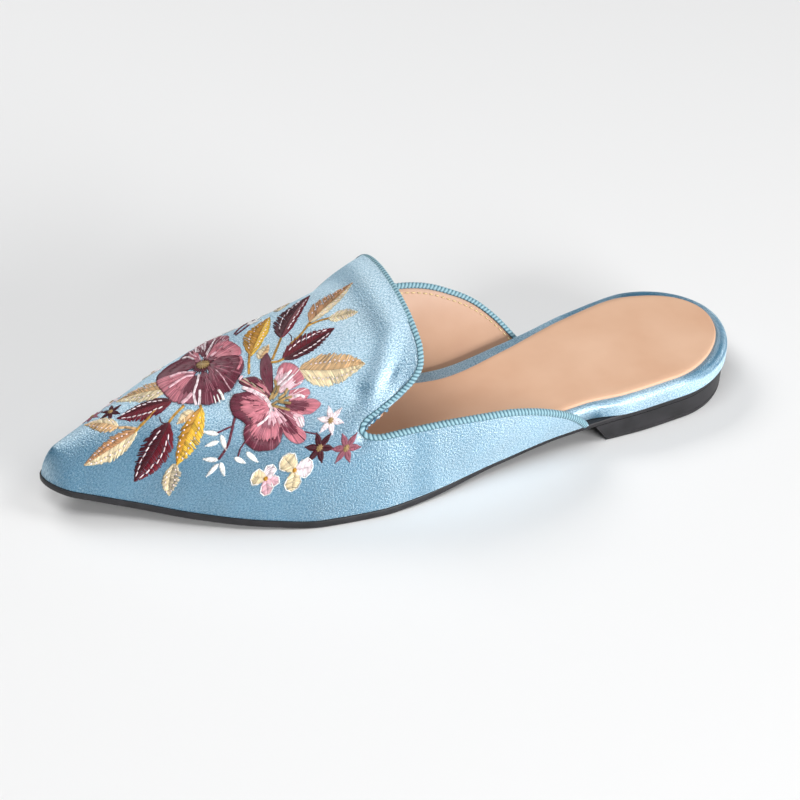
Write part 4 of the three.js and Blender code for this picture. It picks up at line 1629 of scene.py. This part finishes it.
    def star(self, star: Star) -> Array:
        """A six-petalled star flower.

        Args:
            star: the flower.

        Returns:
            Its threads.
        """
        centre, arm = np.array(star.centre), np.array(star.tip) - np.array(star.centre)
        size = float(np.linalg.norm(arm))
        rows = []
        for turn in np.arange(6) * math.pi / 3:
            spin = np.array([[math.cos(turn), -math.sin(turn)], [math.sin(turn), math.cos(turn)]])
            tip = centre + spin @ arm
            root, width = centre + spin @ arm * 0.12, 0.22 * size
            leaf = Blade(tuple(root), tuple(tip), width, width, (star.dye,), blunt=0.9)
            rows.append(self.blade(leaf, 0.0))
        return np.concatenate([*rows, self.knot(star.centre, 0.26 * size, Dye.KHAKI, 2.2)])

    def blossom(self, centre: Spot, petals: Sequence[tuple[Spot, float, Dye]]) -> Array:
        """A small blossom with round petals and a pale outline.

        Args:
            centre: where its petals meet.
            petals: tip, half width and dye of each.

        Returns:
            Its threads.
        """
        rows = []
        for tip, width, dye in petals:
            leaf = Blade(centre, tip, width, width, (dye,), belly=0.6, blunt=0.5)
            rows.append(self.blade(leaf, 0.0))
            ahead, start = np.array(tip) - np.array(centre), np.array(centre)
            left = np.array([-ahead[1], ahead[0]]) / np.linalg.norm(ahead)
            ring = [start + ahead * 0.35 + left * width * 0.75, start + ahead * 0.72 + left * width,
                    start + ahead * 1.02 + left * width * 0.35, start + ahead * 1.02 - left * width * 0.35,
                    start + ahead * 0.72 - left * width, start + ahead * 0.35 - left * width * 0.75]
            rows.append(self.strand(Strand(tuple(map(tuple, ring)), Dye.WHITE, 0.45), 1.2))
        return np.concatenate([*rows, self.knot(centre, 0.9, Dye.MUSTARD, 2.0)])

    def lay(self, name: str, rows: Array) -> Piece:
        """Makes the threads' forms on the vamp.

        Args:
            name: name of the piece.
            rows: the threads.

        Returns:
            The piece, with the dye of each thread in an attribute, darkened by painted shade at the threads'
            ends.
        """
        start, end = rows[:, None, :2], rows[:, None, 2:4]
        places, out = self.skin_map.on_vamp(start + (end - start) * THREAD_SHARES[None, :, None])
        return sewn(name, places, out, rows[:, 4], rows[:, 5], self.loft, rows[:, 6:9])

    def build(self) -> list[Piece]:
        """Stitches the whole spray, from the lowest layer up.

        Returns:
            The pieces: leaves with their stems, the two large flowers, and the small flowers and buds.
        """
        leaves = [self.blade(leaf, 0.0) for leaf in LEAVES] + [self.strand(stem, 0.6) for stem in STEMS]
        pansy = [self.petal(petal, 0.5 + 0.5 * k) for k, petal in enumerate(PANSY)]
        pansy += [self.strand(streak, 5.2) for streak in PANSY_STREAKS]
        pansy += [self.knot(PANSY_EYE, *ring) for ring in PANSY_RINGS]
        lily = [self.petal(petal, 0.5 + 0.4 * k) for k, petal in enumerate(LILY)]
        lily += [self.strand(streak, 5.2) for streak in LILY_STREAKS]
        small = [self.star(star) for star in STARS] + [self.blossom(*blossom) for blossom in BLOSSOMS]
        small += [self.blade(Blade(*bud, 0.85, 0.85, (Dye.WHITE,), blunt=0.6), 0.8) for bud in BUDS]
        named = {"leaves": leaves, "pansy": pansy, "lily": lily, "small_flowers": small}
        return [self.lay(f"embroidery_{name}", np.concatenate(rows)) for name, rows in named.items()]


@dataclass
class SoleUnit:
    """Everything under the foot: outsole, heel block, wrapped footbed and sock."""

    last: Last
    welt: float = 0.6
    tuck: float = 0.4
    bevel: float = 0.8
    slack: float = 0.4
    lean: float = 0.5
    roll: float = 2.6
    footbed_end: float = 0.955
    footbed_thickness: float = 7.0
    footbed_toe: float = 3.2
    overhang: float = 0.5
    sock_margin: float = 3.0
    sock_margin_heel: float = 4.2
    sock_margin_seat: float = 5.4
    sock_margin_waist: float = 9.5
    sock_end: float = 0.94
    sock_thickness: float = 0.8
    wall: float = 1.8
    proud: float = 0.5
    wings: float = 0.256
    heel_breast: float = 66.5
    heel_slant: float = 4.5
    heel_skew: float = 1.7
    heel_inset: float = 0.7
    heel_taper: float = 1.1
    stations: int = 150

    def layer(self, name: str, shares: Array, levels: Sequence[Callable], across: int = 10) -> Piece:
        """Wraps a grid round a layer of the sole.

        Args:
            name: name of the piece.
            shares: stations along the length.
            levels: from the bottom up, functions of share and side that give x, y and z arrays.
            across: steps over the top and under the bottom between the two edges.

        Returns:
            The closed piece.
        """
        edges = {side: [np.stack(level(shares, side.value), axis=-1) for level in levels] for side in Side}
        bottom = [mix(edges[Side.MEDIAL][0], edges[Side.LATERAL][0], k / across) for k in range(across + 1)]
        top = [mix(edges[Side.LATERAL][-1], edges[Side.MEDIAL][-1], k / across) for k in range(across + 1)]
        ring = [*bottom, *edges[Side.LATERAL][1:-1], *top, *edges[Side.MEDIAL][1:-1][::-1], bottom[0]]
        places = np.stack(ring, axis=1)
        places = np.concatenate([self.flat_end(places[:1]), places, self.flat_end(places[-1:])])
        girth = np.stack([along(row) for row in places])
        cloth = np.stack([np.repeat(places[:, :1, 0], places.shape[1], axis=1), girth], axis=-1)
        places = self.last.to_frame(places[..., 0], places[..., 1], places[..., 2])
        piece = grid_sheet(name, places, cloth)
        close_up(piece)
        return piece

    @staticmethod
    def flat_end(row: Array) -> Array:
        """Draws one end's ring in to its own middle line, so that merging closes it."""
        closed = row.copy()
        closed[..., 1] = row[..., 1].mean()
        return closed

    def height(self, at: Array) -> Array:
        """Thickness of the footbed: full under the foot, thin at the toe."""
        return mix(self.footbed_thickness, self.footbed_toe, ease(at, 0.58, 0.92))

    def footbed_edge(self, at: Array, side: int, rise: Array, inset: float) -> tuple[Array, Array, Array]:
        """Edge of the footbed, upright at the heel and leaning with the lining inside the upper.

        Args:
            at: shares of the length.
            side: 1 for lateral, -1 for medial.
            rise: height over the outsole, mm.
            inset: how far it is taken in, mm.

        Returns:
            x, y and z of the last.
        """
        inside = ease(at, self.wings - 0.055, self.wings - 0.005)
        depth = self.wall + self.proud + self.slack + inset
        outer = self.last.outline(at, side, inset - self.overhang)
        inner = self.last.outline(at, side, depth)
        around = self.last.around_at(at, side, self.last.seat(at) + rise, -depth)
        wall = self.last.skin(at, around, -depth)[:, 1] + self.last.middle[1]
        y = mix(outer[1], mix(inner[1], wall, self.lean), inside)
        return mix(outer[0], inner[0], inside), y, self.last.seat(at) + rise

    def margin(self, at: Array, side: int) -> Array:
        """How far the sock stops short of the footbed's edge: farthest along the medial waist.

        Args:
            at: shares of the length.
            side: 1 for lateral, -1 for medial.

        Returns:
            The distance, mm.
        """
        if side > 0:
            return mix(self.sock_margin_heel, self.sock_margin, ease(at, 0.02, 0.12))
        seat = mix(self.sock_margin_heel, self.sock_margin_seat, ease(at, 0.0, 0.08))
        waist = mix(seat, self.sock_margin_waist, ease(at, 0.12, 0.40))
        return mix(waist, self.sock_margin, ease(at, 0.6, 0.8))

    def build_outsole(self) -> Piece:
        """Makes the outsole with a turned-under edge.

        Returns:
            The piece.
        """
        def edge(at: Array) -> Array:
            """How far inside the outline the edge lies: tucked at the heel, a welt at the forefoot."""
            return self.tuck - (self.tuck + self.welt) * ease(at, 0.38, 0.56)

        def level(inset: float, rise: float, from_top: bool) -> Callable:
            """A level of the outsole's edge.

            Args:
                inset: how far in it lies, mm.
                rise: over its base, mm.
                from_top: True to measure from the top, False from the tread.

            Returns:
                Its places, as a function of share and side.
            """
            def place(at: Array, side: int) -> tuple[Array, Array, Array]:
                """The level's edge at shares of the length."""
                base = self.last.seat(at) if from_top else self.last.tread(at)
                return (*self.last.outline(at, side, edge(at) + inset), base + rise)
            return place

        turns = np.linspace(0, math.pi / 2, 5)
        rounds = [level(self.bevel * (1 - math.sin(t)), self.bevel * (1 - math.cos(t)), False) for t in turns]
        upper_edge = [level(0.0, -0.25, True), level(0.07, -0.07, True), level(0.25, 0.0, True)]
        piece = self.layer("outsole_rubber", shares_along(0, 1, self.stations), [*rounds, *upper_edge])
        smooth(piece, 50)
        return piece

    def build_heel(self) -> Piece:
        """Makes the heel block, tapered to the floor, with its breast slanting back.

        Returns:
            The piece.
        """
        front = self.heel_breast / self.last.length

        def level(share: float, inset: float) -> Callable:
            """A level of the block at a share of its height.

            Args:
                share: of the height, from the floor.
                inset: how far in it lies, mm.

            Returns:
                Its places, as a function of share and side.
            """
            def place(at: Array, side: int) -> tuple[Array, Array, Array]:
                """The level's edge at shares of the length."""
                x, y = self.last.outline(at, side, inset + self.heel_inset + self.heel_taper * (1 - share))
                back = (self.heel_slant * (1 - share) + side * self.heel_skew * (1 - share)) * at / front
                return x - back, y, self.last.tread(at) * share
            return place

        seam = 0.20
        levels = [level(0.0, 0.5), level(0.03, 0.12), level(0.07, 0.0), level(seam - 0.02, 0.0),
                  level(seam, 0.22), level(seam + 0.02, 0.0), level(0.6, 0.0), level(0.995, 0.0)]
        piece = self.layer("heel_block", shares_along(0, front, 60, both_round=False), levels)
        smooth(piece, 40)
        return piece

    def build_footbed(self) -> Piece:
        """Makes the padded board wrapped in satin, with its round edge.

        Returns:
            The piece.
        """
        def foot(rise: float, inset: float) -> Callable:
            """The level at a height over the outsole, mm, and so far in."""
            return lambda at, side: self.footbed_edge(at, side, rise, inset)

        def level(turn: float) -> Callable:
            """A level of the roll, by its angle from upright.

            Args:
                turn: the angle, radians.

            Returns:
                Its places, as a function of share and side.
            """
            def place(at: Array, side: int) -> tuple[Array, Array, Array]:
                """The level's edge at shares of the length."""
                height = self.height(at)
                depth = np.minimum(self.roll, height / 2) * (1 - math.sin(turn))
                return self.footbed_edge(at, side, height - depth, self.roll * (1 - math.cos(turn)))
            return place

        base = [foot(0.05, 0.9), foot(0.25, 0.25)]
        rounds = [level(t) for t in np.linspace(0, math.pi / 2, 9)]
        shares = shares_along(0, self.footbed_end, self.stations)
        piece = self.layer("footbed_wrap", shares, [*base, *rounds], across=14)
        smooth(piece, 60)
        return piece

    def build_sock(self) -> Piece:
        """Makes the leather sock that covers the footbed, with a pared edge.

        Returns:
            The piece.
        """
        def level(lift: float, inset: float) -> Callable:
            """A level of the sock's edge.

            Args:
                lift: over the footbed, mm.
                inset: how far in it lies, mm.

            Returns:
                Its places, as a function of share and side.
            """
            def place(at: Array, side: int) -> tuple[Array, Array, Array]:
                """The level's edge at shares of the length."""
                x, y, z = self.footbed_edge(at, side, self.height(at), self.margin(at, side) + inset)
                return x, y, z + lift
            return place

        top = self.last.gap + self.sock_thickness
        levels = [level(0.0, 0.0), level(top * 0.5, 0.0), level(top * 0.85, 0.15), level(top, 0.55)]
        piece = self.layer("insole_sock", shares_along(0, self.sock_end, self.stations), levels, across=24)
        smooth(piece, 60)
        return piece


# The studio


@dataclass(frozen=True)
class Softbox:
    """A rectangular light behind a diffuser: its place and size in metres, and its power in watts."""

    name: str
    spot: tuple[float, float, float]
    size: tuple[float, float]
    power: float


LIGHT_AIM: tuple[float, float, float] = (0.0, 0.0, 0.03)  # metres
SOFTBOXES: tuple[Softbox, ...] = (
    Softbox("side_softbox", (-0.86, 1.96, 0.52), (1.3, 0.5), 53.0),
    Softbox("toe_softbox", (0.40, 0.40, 1.25), (0.8, 0.5), 6.5),
    Softbox("top_softbox", (-0.84, 0.43, 1.07), (0.8, 0.5), 6.0),
    Softbox("back_softbox", (0.45, -0.95, 1.05), (0.9, 0.6), 8.5),
)


@dataclass(frozen=True)
class Studio:
    """A pale floor, soft lights and the camera."""

    eye: tuple[float, float, float] = (376.65, 990.2, 764.1)
    aim: tuple[float, float, float] = (0.0, 4.0, 20.0)
    lens: float = 158.0
    sensor: float = 36.0
    roll: float = -0.118
    floor_colour: str = "#ECECEC"
    floor_size: float = 6.0  # metres
    sky_colour: str = "#F2F4F7"
    sky_strength: float = 0.11

    def build(self) -> None:
        """Sets the stage."""
        clear_selection()
        bpy.ops.mesh.primitive_plane_add(size=self.floor_size)
        floor = bpy.context.active_object
        floor.name = "floor"
        material, _, shader = new_material("painted_board_matt")
        shader.inputs["Base Color"].default_value = linear(self.floor_colour)
        shader.inputs["Roughness"].default_value = 0.9
        floor.data.materials.append(material)
        world = bpy.data.worlds.new("studio")
        world.use_nodes = True
        sky = world.node_tree.nodes["Background"]
        sky.inputs["Color"].default_value = linear(self.sky_colour)
        sky.inputs["Strength"].default_value = self.sky_strength
        bpy.context.scene.world = world
        for softbox in SOFTBOXES:
            self.hang(softbox)
        self.place_camera()

    @staticmethod
    def hang(softbox: Softbox) -> None:
        """Adds an area light that points at the slipper.

        Args:
            softbox: the light.
        """
        lamp = bpy.data.lights.new(softbox.name, "AREA")
        lamp.shape, lamp.size, lamp.size_y, lamp.energy = "RECTANGLE", *softbox.size, softbox.power
        holder = bpy.data.objects.new(softbox.name, lamp)
        holder.location = softbox.spot
        towards = Vector(LIGHT_AIM) - Vector(softbox.spot)
        holder.rotation_euler = towards.to_track_quat("-Z", "Y").to_euler()
        bpy.context.scene.collection.objects.link(holder)

    def place_camera(self) -> None:
        """Stands the camera where the photograph was taken from and frames the one shoe."""
        lens = bpy.data.cameras.new("camera")
        lens.lens, lens.sensor_width, lens.sensor_fit = self.lens, self.sensor, "HORIZONTAL"
        lens.clip_end = 20.0
        camera = bpy.data.objects.new("camera", lens)
        eye, aim = Vector(self.eye) * MM, Vector(self.aim) * MM
        turn = (aim - eye).to_track_quat("-Z", "Y").to_matrix().to_4x4()
        turn = turn @ Matrix.Rotation(math.radians(self.roll), 4, "Z")
        camera.matrix_world = Matrix.Translation(eye) @ turn
        bpy.context.scene.collection.objects.link(camera)
        bpy.context.scene.camera = camera


def main() -> None:
    """Builds the slipper piece by piece, then its studio."""
    logging.basicConfig(level=logging.INFO, format="%(name)s: %(message)s")
    last = Last()
    skin_map, topline = SkinMap(last), Topline(last)
    satin, leather, rubber = DuchesseSatin().make(), LiningLeather().make(), SoleRubber().make()
    ribbon, thread = RibbedRibbon().make(), Thread().make()
    # a darker copy of the sock's leather, as painted shade on the lining inside the wall
    lining = LiningLeather("lining_sheepskin_painted_shade", "#AF876E", "#B58E73", "#BC967C", gloss=0.4).make()

    upper = Upper(last, topline, skin_map)
    dress(upper.build_cover(), satin, "upper", "upper")
    dress(upper.build_lining(), lining, "insole", "upper")
    dress(LiningSeam(upper).build(), thread, "insole")
    dress(Binding(topline).build(), ribbon, "binding", "binding")
    for piece in Embroidery(skin_map).build():
        dress(piece, thread, "upper")

    sole = SoleUnit(last)
    dress(sole.build_outsole(), rubber, "outsole", "outsole")
    dress(sole.build_heel(), rubber, "heel", "heel")
    footbed = sole.build_footbed()
    dress(footbed, satin, "footbed", "footbed")
    sock = sole.build_sock()
    dress(sock, leather, "insole", "insole")

    Studio().build()
    bpy.context.scene.view_settings.view_transform = "Standard"


if __name__ == "__main__":
    main()
